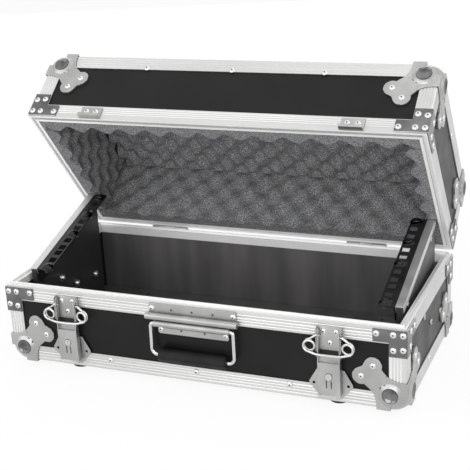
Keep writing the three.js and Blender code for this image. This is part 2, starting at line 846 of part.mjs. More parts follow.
// The board's sloping edge sits in the channel; three bolts with spacers hold it off the case wall
function rackBoard() {
  const topUnder = (channelWall + seatGap) / Math.cos(slope);
  const topAt = (y) => slopeStartHeight + (y - rack.position.y) * Math.tan(slope) - topUnder;
  const low = panelThickness + seatGap;
  const board = sideways([
    [rack.position.y, low],
    [boardBackY, low],
    [boardBackY, topAt(boardBackY)],
    [rack.position.y, topAt(rack.position.y)],
  ], boardInnerHalf, boardOuterHalf);
  const screwHoles = atStripScrews(rodAlongX(stripScrewRadius + seatGap, rackOpeningHalf, sideX, 6))
    .map((hole) => mapped(hole, (p) => p.applyEuler(rack.rotation).add(rack.position)));
  const bolt = joined([
    crossBolt(boltRadius, boltHeadRadius, boltHeadHeight,
      sideX - recess + seatGap, boardInnerHalf + seatGap, domeNut),
    rodAlongX(spacerRadius, boardOuterHalf - seatGap, sideX - wallInset - seatGap, 6),
  ]);
  return joined([
    cut(board, screwHoles),
    ...atWallBolts(bolt),
  ]);
}

function rackFittings() {
  twins('rack_strip', rackStrip(), blackSteel, rack);
  twins('rack_channel', rackChannel(), aluminium, rack);
  twins('rack_board', rackBoard(), laminate, rackCase);
}

// Foam lining of the lid, glued to the panels, flush with the rim.
// With the lid open, the upper end of each rack channel presses a dent into the side pad's edge.
function foamDent() {
  const start = channelLength - channelLeg * 2;
  const bar = prism(outline([
    [start, -channelLeg * 2],
    [channelLength + foamDentGap, -channelLeg * 2],
    [channelLength + foamDentGap, foamDentGap],
    [start, foamDentGap],
  ]), (p) => new THREE.Vector3(rackOpeningHalf + (sideX - rackOpeningHalf) * p.z, p.x, p.y));
  const hingeLine = new THREE.Vector3(0, hingeY, hingeZ);
  const backTurn = new THREE.Euler(-lidHinge.rotation.x, 0, 0);
  return mapped(bar, (p) => p.applyEuler(rack.rotation).add(rack.position)
    .sub(hingeLine).applyEuler(backTurn).add(hingeLine));
}

function lidFoam() {
  const outer = rimDepth + seatGap;
  const inner = outer + foamThickness;
  const low = lidRimZ;
  const high = lidTopZ - wallInset - seatGap;
  const x = sideX - outer;
  const y = backY - outer;
  const betweenX = sideX - inner - seatGap;
  const betweenY = backY - inner - seatGap;
  const side = cut(block(x - foamThickness, x, -betweenY, betweenY, low, high), [foamDent()]);
  piece('lid_foam_front', block(-x, x, -y, -y + foamThickness, low, high), foam, lid);
  piece('lid_foam_back', block(-x, x, y - foamThickness, y, low, high), foam, lid);
  const top = block(-betweenX, betweenX, -betweenY, betweenY, high - foamThickness, high);
  piece('lid_foam_top', top, foam, lid);
  twins('lid_foam', side, foam, lid);
}

// Rubber feet, each held by a screw in its recess
function footPlace(corner) {
  return [corner.right * footX, corner.back * (backY - footInset)];
}

function feet() {
  const top = bottomZ - seatGap;
  const low = top - footHeight;
  const holeRadius = footScrewRadius + seatGap;
  const foot = turned([
    [holeRadius, top],
    [footRadius, top],
    [footRadius, top - footShoulder / 2],
    [footRadius - (footHeight - footShoulder) / 2, low + (footHeight - footShoulder) * footBevelShare],
    [footRadius - (footHeight - footShoulder), low],
    [footRecessRadius, low],
    [footRecessRadius, low + footRecessDepth],
    [holeRadius, low + footRecessDepth],
    [holeRadius, top],
  ], 10);
  const headFace = low + footRecessDepth;
  const screw = turned([
    [0, headFace - footScrewHeadHeight],
    [footScrewHeadRadius * headTopShare, headFace - footScrewHeadHeight],
    [footScrewHeadRadius, headFace - footScrewHeadHeight / 2],
    [footScrewHeadRadius, headFace],
    [footScrewRadius, headFace],
    [footScrewRadius, panelThickness - seatGap],
    [0, panelThickness - seatGap],
  ], 6);
  const whole = joined([foot, screw]);
  for (const corner of fourCorners) {
    const [x, y] = footPlace(corner);
    piece(`foot_${corner.name}`, shifted(whole, x, y, 0), blackRubber, rackCase);
  }
}

// Handle: two plates with rolled edges, a wire bail through the lower roll and a rubber grip
function rolledPlate(half, rollHalf, rollHeight, leafEnd, boreRadius) {
  const plateFace = frontY - seatGap;
  const rollY = frontY - handleAxisOut;
  const plate = block(-half, half, plateFace - handlePlateThickness, plateFace,
    Math.min(leafEnd, rollHeight - handlePlateThickness / 2),
    Math.max(leafEnd, rollHeight + handlePlateThickness / 2));
  const roll = shifted(rodAlongX(handleRollRadius, -rollHalf, rollHalf, 12), 0, rollY, rollHeight);
  const leg = block(-half, half, rollY, plateFace, rollHeight - handlePlateThickness / 2,
    rollHeight + handlePlateThickness / 2);
  const whole = joined([plate, leg, roll]);
  if (boreRadius === 0) {
    return whole;
  }
  return cut(whole, [shifted(rodAlongX(boreRadius, -rollHalf - cutOverrun, rollHalf + cutOverrun, 10),
    0, rollY, rollHeight)]);
}

function handle() {
  const lowerRollHalf = handleArmHalf - handleBend / 2 - runningGap;
  const upperRollHeight = handleAxisHeight + handleRollPitch;
  piece('handle_upper_plate', rolledPlate(handleUpperHalf, handleUpperRollHalf, upperRollHeight,
    upperRollHeight + handleUpperLeaf, 0), zinc, rackCase);
  piece('handle_lower_plate', rolledPlate(handleArmHalf - handleBend, lowerRollHalf, handleAxisHeight,
    handleAxisHeight - handleLowerLeaf, handleRodRadius + runningGap), zinc, rackCase);

  // The bail is drawn hanging straight down from its axis, then leaned against the front
  const swing = new THREE.Group();
  const gripFromWall = gripRadius + seatGap - recess;
  swing.position.set(0, frontY - handleAxisOut, handleAxisHeight);
  swing.rotation.x = Math.asin((handleAxisOut - gripFromWall) / handleDrop);
  rackCase.add(swing);
  const inX = handleArmHalf - handleBend;
  const gripHalf = inX - gripClearance;
  const eyeBend = handleBend / 2;
  const half = [
    [seatGap * 2, -handleDrop],
    ...arcPoints([inX, -handleDrop + handleBend], handleBend, -90, 0, 4),
    ...arcPoints([handleArmHalf - eyeBend, -eyeBend], eyeBend, 0, 90, 3),
  ].map(([x, z]) => new THREE.Vector3(x, 0, z));
  const otherHalf = half.slice().reverse().map((p) => new THREE.Vector3(-p.x, p.y, p.z));
  piece('handle_bail', wire([...half, ...otherHalf], handleRodRadius, 8), chrome, swing);
  const grip = turned([
    [handleRodRadius + seatGap, -gripHalf],
    [gripRadius - gripEndRound, -gripHalf],
    [gripRadius, -gripHalf + gripEndRound],
    [gripRadius, gripHalf - gripEndRound],
    [gripRadius - gripEndRound, gripHalf],
    [handleRodRadius + seatGap, gripHalf],
    [handleRodRadius + seatGap, -gripHalf],
  ], 12);
  const lengthways = mapped(grip, (p) => new THREE.Vector3(p.z, p.y, -handleDrop - p.x));
  piece('handle_grip', lengthways, blackRubber, swing);
}

// Draw latches, drawn about x = 0 with "out" measured forward from the case's front face
const out = (distance) => frontY - distance;
const bailPivotHeight = leverPivotHeight - leverCrank;
const leverInnerHalf = bracketHalf - bracketWall - runningGap - leverWall;
const leverOuterHalf = leverInnerHalf + leverWall;

function roundHole(radius, height, outDistance) {
  return shifted(rodAlongX(radius, -bracketHalf - cutOverrun, bracketHalf + cutOverrun, 12),
    0, out(outDistance), height);
}

// Base: bracket with two flanges above, a neck behind the lever and an eared plate below, from one sheet
function latchBase() {
  const plate = frontal([
    [-bracketHalf, bracketTop],
    [-bracketHalf, bracketBottom],
    [-neckHalf, bracketBottom - (bracketHalf - neckHalf)],
    [-neckHalf, earTop + bracketWall],
    [-earShoulder, earTop],
    ...arcPoints([-earHoleHalf, earHeight], earHalf - earHoleHalf,
      180 - earRoundDegrees[1], 180 - earRoundDegrees[0], 4),
    [-neckHalf, earBottom],
    [neckHalf, earBottom],
    ...arcPoints([earHoleHalf, earHeight], earHalf - earHoleHalf, ...earRoundDegrees, 4),
    [earShoulder, earTop],
    [neckHalf, earTop + bracketWall],
    [neckHalf, bracketBottom - (bracketHalf - neckHalf)],
    [bracketHalf, bracketBottom],
    [bracketHalf, bracketTop],
  ], out(seatGap), out(seatGap + bracketWall));
  const flange = sideways([
    [out(seatGap), bracketBottom],
    [out(seatGap), bracketTop],
    [out(flangeOut - bracketWall), bracketTop],
    [out(flangeOut), bracketTop - bracketWall],
    [out(flangeOut), flangeBottom + bracketWall],
    [out(flangeOut - bracketWall), flangeBottom],
    [out(leverPivotOut), flangeBottom],
  ], bracketHalf - bracketWall, bracketHalf);
  // The wire bail's ends travel through an arc slot in each flange as the lever turns
  const pivot = [out(leverPivotOut), leverPivotHeight];
  const slot = sideways([
    ...arcPoints(pivot, leverCrank + wireRadius + runningGap, ...flangeSlotDegrees, 12),
    ...arcPoints(pivot, leverCrank - wireRadius - runningGap, ...flangeSlotDegrees.toReversed(), 10),
  ], bracketHalf - bracketWall - runningGap, bracketHalf + cutOverrun);
  const earHoleOut = out(seatGap + bracketWall / 2);
  const earHole = mapped(turned([
    [0, -cutOverrun],
    [earHoleRadius, -cutOverrun],
    [earHoleRadius, cutOverrun],
    [0, cutOverrun],
  ], 10), (p) => new THREE.Vector3(p.x + earHoleHalf, earHoleOut + p.z, p.y + earHeight));
  const pin = mapped(turned([
    [0, leverInnerHalf - leverWall / 2],
    [leverPinRadius, leverInnerHalf - leverWall / 2],
    [leverPinRadius, bracketHalf],
    [leverPinHeadRadius, bracketHalf],
    [leverPinHeadRadius * headTopShare, bracketHalf + leverPinHeadHeight],
    [0, bracketHalf + leverPinHeadHeight],
  ], 10), (p) => new THREE.Vector3(p.z, p.y + out(leverPivotOut), leverPivotHeight - p.x));
  const bentPlate = joined([plate, flange, mirroredX(flange)]);
  return joined([
    cut(bentPlate, [slot, mirroredX(slot), earHole, mirroredX(earHole)]),
    pin,
    mirroredX(pin),
  ]);
}

function latchLever() {
  const cheekOutline = [
    [out(leverBack), leverBottom + leverWall],
    [out(leverOut), leverBottom + leverWall],
    [out(leverOut), leverStep],
    [out(leverPivotOut + leverArmRadius), leverTop],
    ...arcPoints([out(leverPivotOut), leverPivotHeight], leverArmRadius, 180, 0, 6),
    [out(leverPivotOut - leverArmRadius + runningGap), leverTop],
    [out(leverBack), leverTop - leverWall],
  ];
  const cheeks = bothSides.map((side) => sideways(cheekOutline,
    side * leverInnerHalf, side * leverOuterHalf));
  const face = block(-leverOuterHalf, leverOuterHalf, out(leverOut), out(leverOut - leverWall),
    leverBottom, leverStep);
  const lip = sideways([
    [out(leverOut - leverWall), leverBottom],
    [out(leverOut - leverWall), leverBottom + leverWall],
    [out(leverOut), leverBottom + leverWall * 2],
    [out(leverOut + leverLip), leverBottom],
  ], -leverOuterHalf, leverOuterHalf);
  const stepFace = leverOut - leverStepDepth;
  const step = block(-leverOuterHalf, leverOuterHalf, out(leverOut), out(stepFace - leverWall),
    leverStep - leverWall, leverStep);
  const window = block(-leverInnerHalf - leverWall / 2, leverInnerHalf + leverWall / 2,
    out(stepFace), out(stepFace - leverWall), leverStep - leverWall, leverTop - leverWall);
  const slots = bothSides.map((side) => block(
    side * leverSlotHalfSpacing - leverSlotWidth / 2, side * leverSlotHalfSpacing + leverSlotWidth / 2,
    out(leverOut + cutOverrun), out(leverOut - leverWall - cutOverrun),
    lockHeight - leverSlotDrop - leverSlotLength, lockHeight - leverSlotDrop));
  const lockHole = mapped(turned([[0, 0], [lockRadius + runningGap, 0],
    [lockRadius + runningGap, cutOverrun * 2], [0, cutOverrun * 2]], 12), (p) => (
    new THREE.Vector3(p.x, out(leverOut + cutOverrun / 2) + p.z, p.y + lockHeight)));
  return cut(joined([face, lip, step, window, ...cheeks]), [
    ...slots,
    lockHole,
    roundHole(leverPinRadius + runningGap, leverPivotHeight, leverPivotOut),
    roundHole(wireRadius + runningGap, bailPivotHeight, leverPivotOut),
  ]);
}

function latchLock() {
  const back = leverOut - leverWall - runningGap - lockCamThickness;
  const plug = mapped(turned([[0, 0], [lockRadius, 0], [lockRadius, leverOut + lockProud - back],
    [0, leverOut + lockProud - back]], 12), (p) => (
    new THREE.Vector3(p.x, out(back + p.z), p.y + lockHeight)));
  const cam = block(-lockCamLength, lockCamLength * lockCamTailShare,
    out(back + lockCamThickness), out(back),
    lockHeight - lockRadius / 2, lockHeight + lockRadius / 2);
  const keySlot = block(-lockKeySlotWidth / 2, lockKeySlotWidth / 2,
    out(leverOut + lockProud + cutOverrun), out(leverOut),
    lockHeight - lockKeySlotLength / 2, lockHeight + lockKeySlotLength / 2);
  return cut(joined([plug, cam]), [keySlot]);
}

// One length of spring wire: pivot end, side coil, hooking bar, side coil, pivot end
function latchBail() {
  const steps = bailStepsPerTurn * bailCoilTurns;
  const frontOut = leverPivotOut + bailCoilTurns * bailCoilPitch;
  const pivotEnd = leverInnerHalf - bailStubInside;
  const side = [
    new THREE.Vector3(pivotEnd, out(leverPivotOut), bailPivotHeight),
    new THREE.Vector3(bailShoulder, out(leverPivotOut), bailPivotHeight),
  ];
  for (let n = 0; n <= steps; n += 1) {
    const turn = Math.PI / 2 - (2 * Math.PI * bailCoilTurns * n) / steps;
    side.push(new THREE.Vector3(
      bailCoilHalfSpacing + bailCoilRadius * Math.cos(turn),
      out(leverPivotOut + ((frontOut - leverPivotOut) * n) / steps),
      bailCoilHeight + bailCoilRadius * Math.sin(turn),
    ));
  }
  side.push(new THREE.Vector3(bailShoulder, out(frontOut), bailBarHeight));
  const otherSide = side.slice().reverse().map((p) => new THREE.Vector3(-p.x, p.y, p.z));
  return wire([...side, ...otherSide], wireRadius, 6);
}

function latches() {
  const parts = [
    ['latch_base', latchBase(), zinc],
    ['latch_lever', latchLever(), zinc],
    ['latch_lock', latchLock(), chrome],
    ['latch_bail', latchBail(), chrome],
  ];
  for (const [hand, side] of [['left', -1], ['right', 1]]) {
    for (const [name, geometry, material] of parts) {
      piece(`${name}_${hand}`, shifted(geometry, side * latchX, 0, 0), material, rackCase);
    }
  }
}

// Keepers on the lid's front rim, hooked for the latches' wire bails
function keepers() {
  const low = lidRimZ + keeperBottom;
  const keeper = sideways([
    [out(seatGap), low],
    [out(seatGap), lidRimZ + keeperTop],
    [out(seatGap + bracketWall), lidRimZ + keeperTop],
    [out(seatGap + bracketWall), low + bracketWall],
    [out(keeperOut - bracketWall), low + bracketWall],
    [out(keeperOut - bracketWall), low + bracketWall + keeperHook],
    [out(keeperOut), low + bracketWall + keeperHook],
    [out(keeperOut), low],
  ], -keeperHalf, keeperHalf);
  twins('lid_keeper', shifted(keeper, latchX, 0, 0), zinc, lid);
}

// Two leaf hinges on the back: the base leaf has the outer knuckles, the lid leaf the middle one
function hinges() {
  const leafIn = backY + seatGap;
  const leafOut = leafIn + hingeLeafThickness;
  const clear = hingeKnuckleRadius + seatGap;
  const middleHalf = hingeHalfLength * hingeKnuckleShare;
  const knuckle = (x0, x1) => shifted(rodAlongX(hingeKnuckleRadius, x0, x1, 10), 0, hingeY, hingeZ);
  const bore = shifted(rodAlongX(hingeBoreRadius, -hingeHalfLength - cutOverrun,
    hingeHalfLength + cutOverrun, 8), 0, hingeY, hingeZ);
  const baseLeaf = cut(joined([
    block(-hingeHalfLength, hingeHalfLength, leafIn, leafOut,
      hingeZ - clear - hingeLeafHeight, hingeZ - clear),
    ...bothSides.flatMap((side) => {
      const [near, far] = [side * (middleHalf + seatGap), side * hingeHalfLength];
      const [x0, x1] = [Math.min(near, far), Math.max(near, far)];
      return [knuckle(x0, x1), block(x0, x1, leafIn, leafOut, hingeZ - clear - hingeLeafThickness, hingeZ)];
    }),
  ]), [bore]);
  const lidLeaf = cut(joined([
    block(-hingeHalfLength, hingeHalfLength, leafIn, leafOut,
      hingeZ + clear, hingeZ + clear + hingeLeafHeight),
    knuckle(-middleHalf, middleHalf),
    block(-middleHalf, middleHalf, leafIn, leafOut, hingeZ, hingeZ + clear + hingeLeafThickness),
  ]), [bore]);
  const pin = joined([
    shifted(rodAlongX(hingePinRadius, -hingeHalfLength - seatGap, hingeHalfLength + seatGap, 8),
      0, hingeY, hingeZ),
    ...bothSides.map((side) => {
      const [near, far] = [side * (hingeHalfLength + seatGap), side * (hingeHalfLength + hingePinRadius)];
      const [x0, x1] = [Math.min(near, far), Math.max(near, far)];
      return shifted(rodAlongX(hingeKnuckleRadius * hingePinHeadShare, x0, x1, 8), 0, hingeY, hingeZ);
    }),
  ]);
  const placed = (part) => shifted(part, hingeX, 0, 0);
  twins('hinge_base_leaf', placed(baseLeaf), zinc, rackCase);
  twins('hinge_pin', placed(pin), zinc, rackCase);
  twins('hinge_lid_leaf', placed(lidLeaf), zinc, lid);
}

basePanels();
lidPanels();
edgesAndRims();
ballCorners();
lidFoam();
rackFittings();
feet();
handle();
latches();
keepers();
hinges();

export default rackCase;
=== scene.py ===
import json
import math

import bmesh
import bpy
from mathutils import Matrix, Vector


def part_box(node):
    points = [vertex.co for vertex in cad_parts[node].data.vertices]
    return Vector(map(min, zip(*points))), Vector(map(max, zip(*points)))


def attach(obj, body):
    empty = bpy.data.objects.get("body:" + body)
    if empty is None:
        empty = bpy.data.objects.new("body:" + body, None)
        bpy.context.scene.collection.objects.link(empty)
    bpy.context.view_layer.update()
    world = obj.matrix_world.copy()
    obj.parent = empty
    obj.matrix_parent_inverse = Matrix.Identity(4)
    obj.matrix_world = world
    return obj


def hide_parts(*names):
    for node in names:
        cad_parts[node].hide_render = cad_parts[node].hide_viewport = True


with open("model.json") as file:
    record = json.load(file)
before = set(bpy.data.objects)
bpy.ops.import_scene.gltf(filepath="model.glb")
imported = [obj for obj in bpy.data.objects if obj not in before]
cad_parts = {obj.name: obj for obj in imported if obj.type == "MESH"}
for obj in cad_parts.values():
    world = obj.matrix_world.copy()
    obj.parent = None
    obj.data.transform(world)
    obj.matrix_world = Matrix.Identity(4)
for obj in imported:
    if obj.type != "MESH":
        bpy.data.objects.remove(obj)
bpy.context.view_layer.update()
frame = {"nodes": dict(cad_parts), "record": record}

scene = bpy.context.scene

# ---------------------------------------------------------------------------
# Floor, light and camera: a seamless pale table under large soft lamps, seen from
# the front and a little to the right, with a long lens.
scene.view_settings.view_transform = "Standard"

azimuth, elevation, roll = (math.radians(angle) for angle in (23.10, 19.54, -3.21))
back_way = Vector((
    math.sin(azimuth) * math.cos(elevation),
    -math.cos(azimuth) * math.cos(elevation),
    math.sin(elevation),
))
level = Vector((math.cos(azimuth), math.sin(azimuth), 0))
upright = back_way.cross(level)
camera_right = math.cos(roll) * level + math.sin(roll) * upright
camera_up = math.cos(roll) * upright - math.sin(roll) * level
camera_at = (0.543, -1.2515, 0.6352)
camera = bpy.data.objects.new("camera", bpy.data.cameras.new("camera"))
camera.data.lens = 84.23
camera.data.sensor_width = 36
camera.data.clip_start = 0.05
camera.matrix_world = (
    Matrix.Translation(camera_at)
    @ Matrix((camera_right, camera_up, back_way)).transposed().to_4x4()
)
scene.collection.objects.link(camera)
scene.camera = camera


def seen_directly(tree):
    """1 where the camera, a reflection or glass looks straight at a surface, else 0"""
    path = tree.nodes.new("ShaderNodeLightPath")
    total = path.outputs["Is Camera Ray"]
    for ray in ("Is Glossy Ray", "Is Transmission Ray"):
        either = tree.nodes.new("ShaderNodeMath")
        either.operation = "MAXIMUM"
        tree.links.new(total, either.inputs[0])
        tree.links.new(path.outputs[ray], either.inputs[1])
        total = either.outputs[0]
    return total


all_round, behind_white = 0.62, 1.0      # strength of the light from all round, and of the seen background
world = bpy.data.worlds.new("studio")
scene.world = world
world.use_nodes = True
sky = world.node_tree
sky.nodes.clear()
sky_mix = sky.nodes.new("ShaderNodeMixShader")
sky_out = sky.nodes.new("ShaderNodeOutputWorld")
for place, strength in ((1, all_round), (2, behind_white)):
    glow = sky.nodes.new("ShaderNodeBackground")
    glow.inputs["Color"].default_value = (1, 1, 1, 1)
    glow.inputs["Strength"].default_value = strength
    sky.links.new(glow.outputs[0], sky_mix.inputs[place])
sky.links.new(seen_directly(sky), sky_mix.inputs[0])
sky.links.new(sky_mix.outputs[0], sky_out.inputs[0])

lit_spot = Vector((0, 0, 0.15))
for name, at, size, power in (
    ("lamp_left", (-1.9, -2.1, 1.3), 2.4, 20),
    ("lamp_right", (2.4, -0.2, 1.3), 2.2, 15),
    ("lamp_top", (0.0, 0.6, 2.7), 3.0, 9),
    ("lamp_back", (-1.0, 2.9, 1.1), 2.6, 22),
    ("lamp_front", (0.5, -2.9, 0.9), 2.2, 34),
):
    lamp = bpy.data.lights.new(name, "AREA")
    lamp.shape = "SQUARE"
    lamp.size = size
    lamp.energy = power
    holder = bpy.data.objects.new(name, lamp)
    holder.location = at
    holder.rotation_euler = (lit_spot - Vector(at)).to_track_quat("-Z", "Y").to_euler()
    scene.collection.objects.link(holder)

floor_level, floor_half, glow_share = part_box("foot_front_left")[0].z, 6, 0.86
floor_mesh = bpy.data.meshes.new("table")
floor_mesh.from_pydata(
    [(x * floor_half, y * floor_half, floor_level) for x, y in ((-1, -1), (1, -1), (1, 1), (-1, 1))],
    [], [(0, 1, 2, 3)])
table = bpy.data.objects.new("table", floor_mesh)
scene.collection.objects.link(table)
table_finish = bpy.data.materials.new("table_white")
table_finish.use_nodes = True
tree = table_finish.node_tree
table_shader = tree.nodes["Principled BSDF"]
table_shader.inputs["Base Color"].default_value = (0.86, 0.86, 0.86, 1)
table_shader.inputs["Roughness"].default_value = 0.9
table_shader.inputs["Specular IOR Level"].default_value = 0.0
table_glow = tree.nodes.new("ShaderNodeEmission")
table_glow.inputs["Color"].default_value = (1, 1, 1, 1)
table_glow.inputs["Strength"].default_value = 1.03
share = tree.nodes.new("ShaderNodeMath")
share.operation = "MULTIPLY"
share.inputs[1].default_value = glow_share
mix = tree.nodes.new("ShaderNodeMixShader")
tree.links.new(seen_directly(tree), share.inputs[0])
tree.links.new(share.outputs[0], mix.inputs[0])
tree.links.new(table_shader.outputs[0], mix.inputs[1])
tree.links.new(table_glow.outputs[0], mix.inputs[2])
tree.links.new(mix.outputs[0], tree.nodes["Material Output"].inputs["Surface"])
table.data.materials.append(table_finish)

# ---------------------------------------------------------------------------
# Walls, floor and top: plywood faced with a hard black laminate, sawn to size and held
# between the edge extrusions. Its skin has a fine pebble grain; inside the base the inward faces are painted
# paler, in vertical streaks: painted light and painted reflection.
MM = 0.001
square_on = 0.9      # a face looks along an axis where its normal's part on that axis is larger


def finish(name, colour, **values):
    """A material with its shader's own values set; a socket's name is written with underscores"""
    material = bpy.data.materials.new(name)
    material.use_nodes = True
    shader = material.node_tree.nodes["Principled BSDF"]
    shader.inputs["Base Color"].default_value = (*colour, 1)
    for socket, value in values.items():
        shader.inputs[socket.replace("_", " ")].default_value = value
    return material


def cloud(material, scale, detail=3.0, stretch=(1, 1, 1)):
    """Noise over the piece's own coordinates; scale counts grains in a metre"""
    nodes, links = material.node_tree.nodes, material.node_tree.links
    coords = nodes.new("ShaderNodeTexCoord")
    place = nodes.new("ShaderNodeMapping")
    place.inputs["Scale"].default_value = stretch
    noise = nodes.new("ShaderNodeTexNoise")
    noise.inputs["Scale"].default_value = scale
    noise.inputs["Detail"].default_value = detail
    links.new(coords.outputs["Object"], place.inputs["Vector"])
    links.new(place.outputs[0], noise.inputs["Vector"])
    return noise.outputs["Fac"]


def vary(material, socket, amount, low, high, span=(0.3, 0.7)):
    """Lets a pattern move one of the shader's sockets between two values or two colours"""
    nodes, links = material.node_tree.nodes, material.node_tree.links
    ramp = nodes.new("ShaderNodeValToRGB")
    for stop, at, value in zip(ramp.color_ramp.elements, span, (low, high)):
        stop.position = at
        stop.color = (*value, 1) if isinstance(value, tuple) else (value, value, value, 1)
    links.new(amount, ramp.inputs["Fac"])
    links.new(ramp.outputs["Color"], nodes["Principled BSDF"].inputs[socket])


def raise_grain(material, amount, depth, strength=1.0):
    """Lets a pattern lift the surface by a depth in metres"""
    nodes, links = material.node_tree.nodes, material.node_tree.links
    bump = nodes.new("ShaderNodeBump")
    bump.inputs["Strength"].default_value = strength
    bump.inputs["Distance"].default_value = depth
    links.new(amount, bump.inputs["Height"])
    earlier = nodes["Principled BSDF"].inputs["Normal"].links
    if earlier:
        links.new(earlier[0].from_socket, bump.inputs["Normal"])
    links.new(bump.outputs[0], nodes["Principled BSDF"].inputs["Normal"])


def laminate_finish(name, dark, pale, gloss):
    """Black laminate: a faint cloud in its black, a satin sheen and a fine pebble grain"""
    material = finish(name, dark, Specular_IOR_Level=gloss, Sheen_Weight=0.06, Sheen_Roughness=0.35)
    vary(material, "Base Color", cloud(material, 9, 5), dark, pale)
    vary(material, "Roughness", cloud(material, 30, 6), 0.32, 0.46)
    raise_grain(material, cloud(material, 900, 2), 0.00006, 0.5)
    return material


laminate = laminate_finish("black_laminate", (0.006, 0.006, 0.0065), (0.012, 0.0115, 0.011), 0.17)
# Inside the base the back wall's inner face and the floor's top are painted paler, in vertical streaks:
# painted light and painted reflection on the same black laminate
painted_light_dark, painted_light_pale = (0.075, 0.073, 0.072), (0.16, 0.157, 0.154)
inner_laminate = laminate_finish("inner_laminate", painted_light_dark, painted_light_pale, 0.45)
streaks = cloud(inner_laminate, 26, 4, (1, 1, 0.12))
vary(inner_laminate, "Base Color", streaks, painted_light_dark, painted_light_pale, (0.3, 0.75))

painted_lit_panels = ("base_floor", "base_back_panel")
plain = [f"base_{wall}_panel" for wall in ("front", "left", "right")]
plain += [f"lid_{wall}_panel" for wall in ("top", "front", "back", "left", "right")]
for node in (*painted_lit_panels, *plain):
    panel = frame["nodes"][node].data
    panel.materials.clear()
    if node in painted_lit_panels:
        panel.materials.append(inner_laminate)
    panel.materials.append(laminate)
    if node in painted_lit_panels:
        # inward faces take the paler laminate of painted light, the rest the plain black
        for face in panel.polygons:
            inward = face.normal.y < -square_on or face.normal.z > square_on
            face.material_index = 0 if inward else 1


def smooth_mesh(work, name, corner_degrees=35):
    """A mesh from a bmesh, smooth except over corners sharper than an angle"""
    bmesh.ops.recalc_face_normals(work, faces=work.faces)
    mesh = bpy.data.meshes.new(name)
    work.to_mesh(mesh)
    work.free()
    mesh.shade_smooth()
    mesh.set_sharp_from_angle(angle=math.radians(corner_degrees))
    return mesh


def put(name, mesh, material, body, slot, *nodes):
    """A finished piece: its material, the body that it rides on and the nodes that it stands for"""
    piece = bpy.data.objects.new(name, mesh)
    scene.collection.objects.link(piece)
    if material:
        mesh.materials.clear()
        mesh.materials.append(material)
    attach(piece, body)
    if nodes:
        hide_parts(*nodes)
    return piece


def soften(piece, width, degrees=30):
    """Breaks a piece's edges that are sharper than an angle, over a width in metres"""
    bevel = piece.modifiers.new("broken_edges", "BEVEL")
    bevel.width = width
    bevel.segments = 2
    bevel.limit_method = "ANGLE"
    bevel.angle_limit = math.radians(degrees)
    bevel.use_clamp_overlap = False
    bevel.harden_normals = True
    return piece


def slab(outline, thickness, place):
    """A bmesh prism of an outline in (u, v), its thickness along t, each point put by a rule"""
    work = bmesh.new()
    low = [work.verts.new(place(u, v, 0)) for u, v in outline]
    high = [work.verts.new(place(u, v, thickness)) for u, v in outline]
    work.faces.new(low)
    work.faces.new(reversed(high))
    for n in range(len(outline)):
        m = (n + 1) % len(outline)
        work.faces.new((low[n], high[n], high[m], low[m]))
    return work


# ---------------------------------------------------------------------------
# Edge and rim extrusions, rack channels: drawn aluminium with pressed ribs, mitred
# and riveted round the box; satin, with faint lengthwise streaks from the die.
aluminium = finish("satin_aluminium", (0.62, 0.62, 0.61), Metallic=0.82, Roughness=0.42)
vary(aluminium, "Base Color", cloud(aluminium, 14, 6, (0.25, 1, 1)), (0.57, 0.57, 0.565), (0.68, 0.68, 0.67))
vary(aluminium, "Roughness", cloud(aluminium, 60, 5, (0.08, 1, 1)), 0.34, 0.5)
raise_grain(aluminium, cloud(aluminium, 1500, 2, (0.06, 1, 1)), 0.00004, 0.35)


def worked_copy(node):
    """A node's solid as a bmesh of whole flat faces"""
    work = bmesh.new()
    work.from_mesh(frame["nodes"][node].data)
    bmesh.ops.remove_doubles(work, verts=work.verts, dist=0.000002)
    bmesh.ops.dissolve_limit(
        work, angle_limit=math.radians(0.6), verts=work.verts, edges=work.edges)
    return work


def dressed(node, material, slot, width, work=None):
    """A node shown with broken edges and a finish; work is its bmesh where that was cut further"""
    body = next(b for b, nodes in frame["record"]["behaviour"]["bodies"].items() if node in nodes)
    mesh = smooth_mesh(worked_copy(node) if work is None else work, node + "_finished", 38)
    return soften(put(node + "_finished", mesh, material, body, slot, node), width)


pin_low, pin_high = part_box("hinge_pin_left")
hinge_line = Vector((0, pin_low.y + pin_high.y, pin_low.z + pin_high.z)) / 2
lid_joint = next(j for j in frame["record"]["behaviour"]["joints"] if j["name"] == "lid_hinge")
lid_open = math.radians(-lid_joint["range_deg"][0])

brace_steel = finish("polished_brace_steel", (0.24, 0.24, 0.24), Metallic=1.0, Roughness=0.28)
vary(brace_steel, "Base Color", cloud(brace_steel, 45, 4), (0.12, 0.12, 0.12), (0.21, 0.21, 0.207))
vary(brace_steel, "Roughness", cloud(brace_steel, 90, 4), 0.22, 0.38)
lip_painted_highlight = finish("lip_painted_highlight", (0.9, 0.9, 0.89), Metallic=0.12, Roughness=0.34)
vary(lip_painted_highlight, "Base Color", cloud(lip_painted_highlight, 16, 5, (0.25, 1, 1)), (0.86, 0.86, 0.855), (0.95, 0.95, 0.94))
vary(lip_painted_highlight, "Roughness", cloud(lip_painted_highlight, 60, 5, (0.08, 1, 1)), 0.3, 0.44)
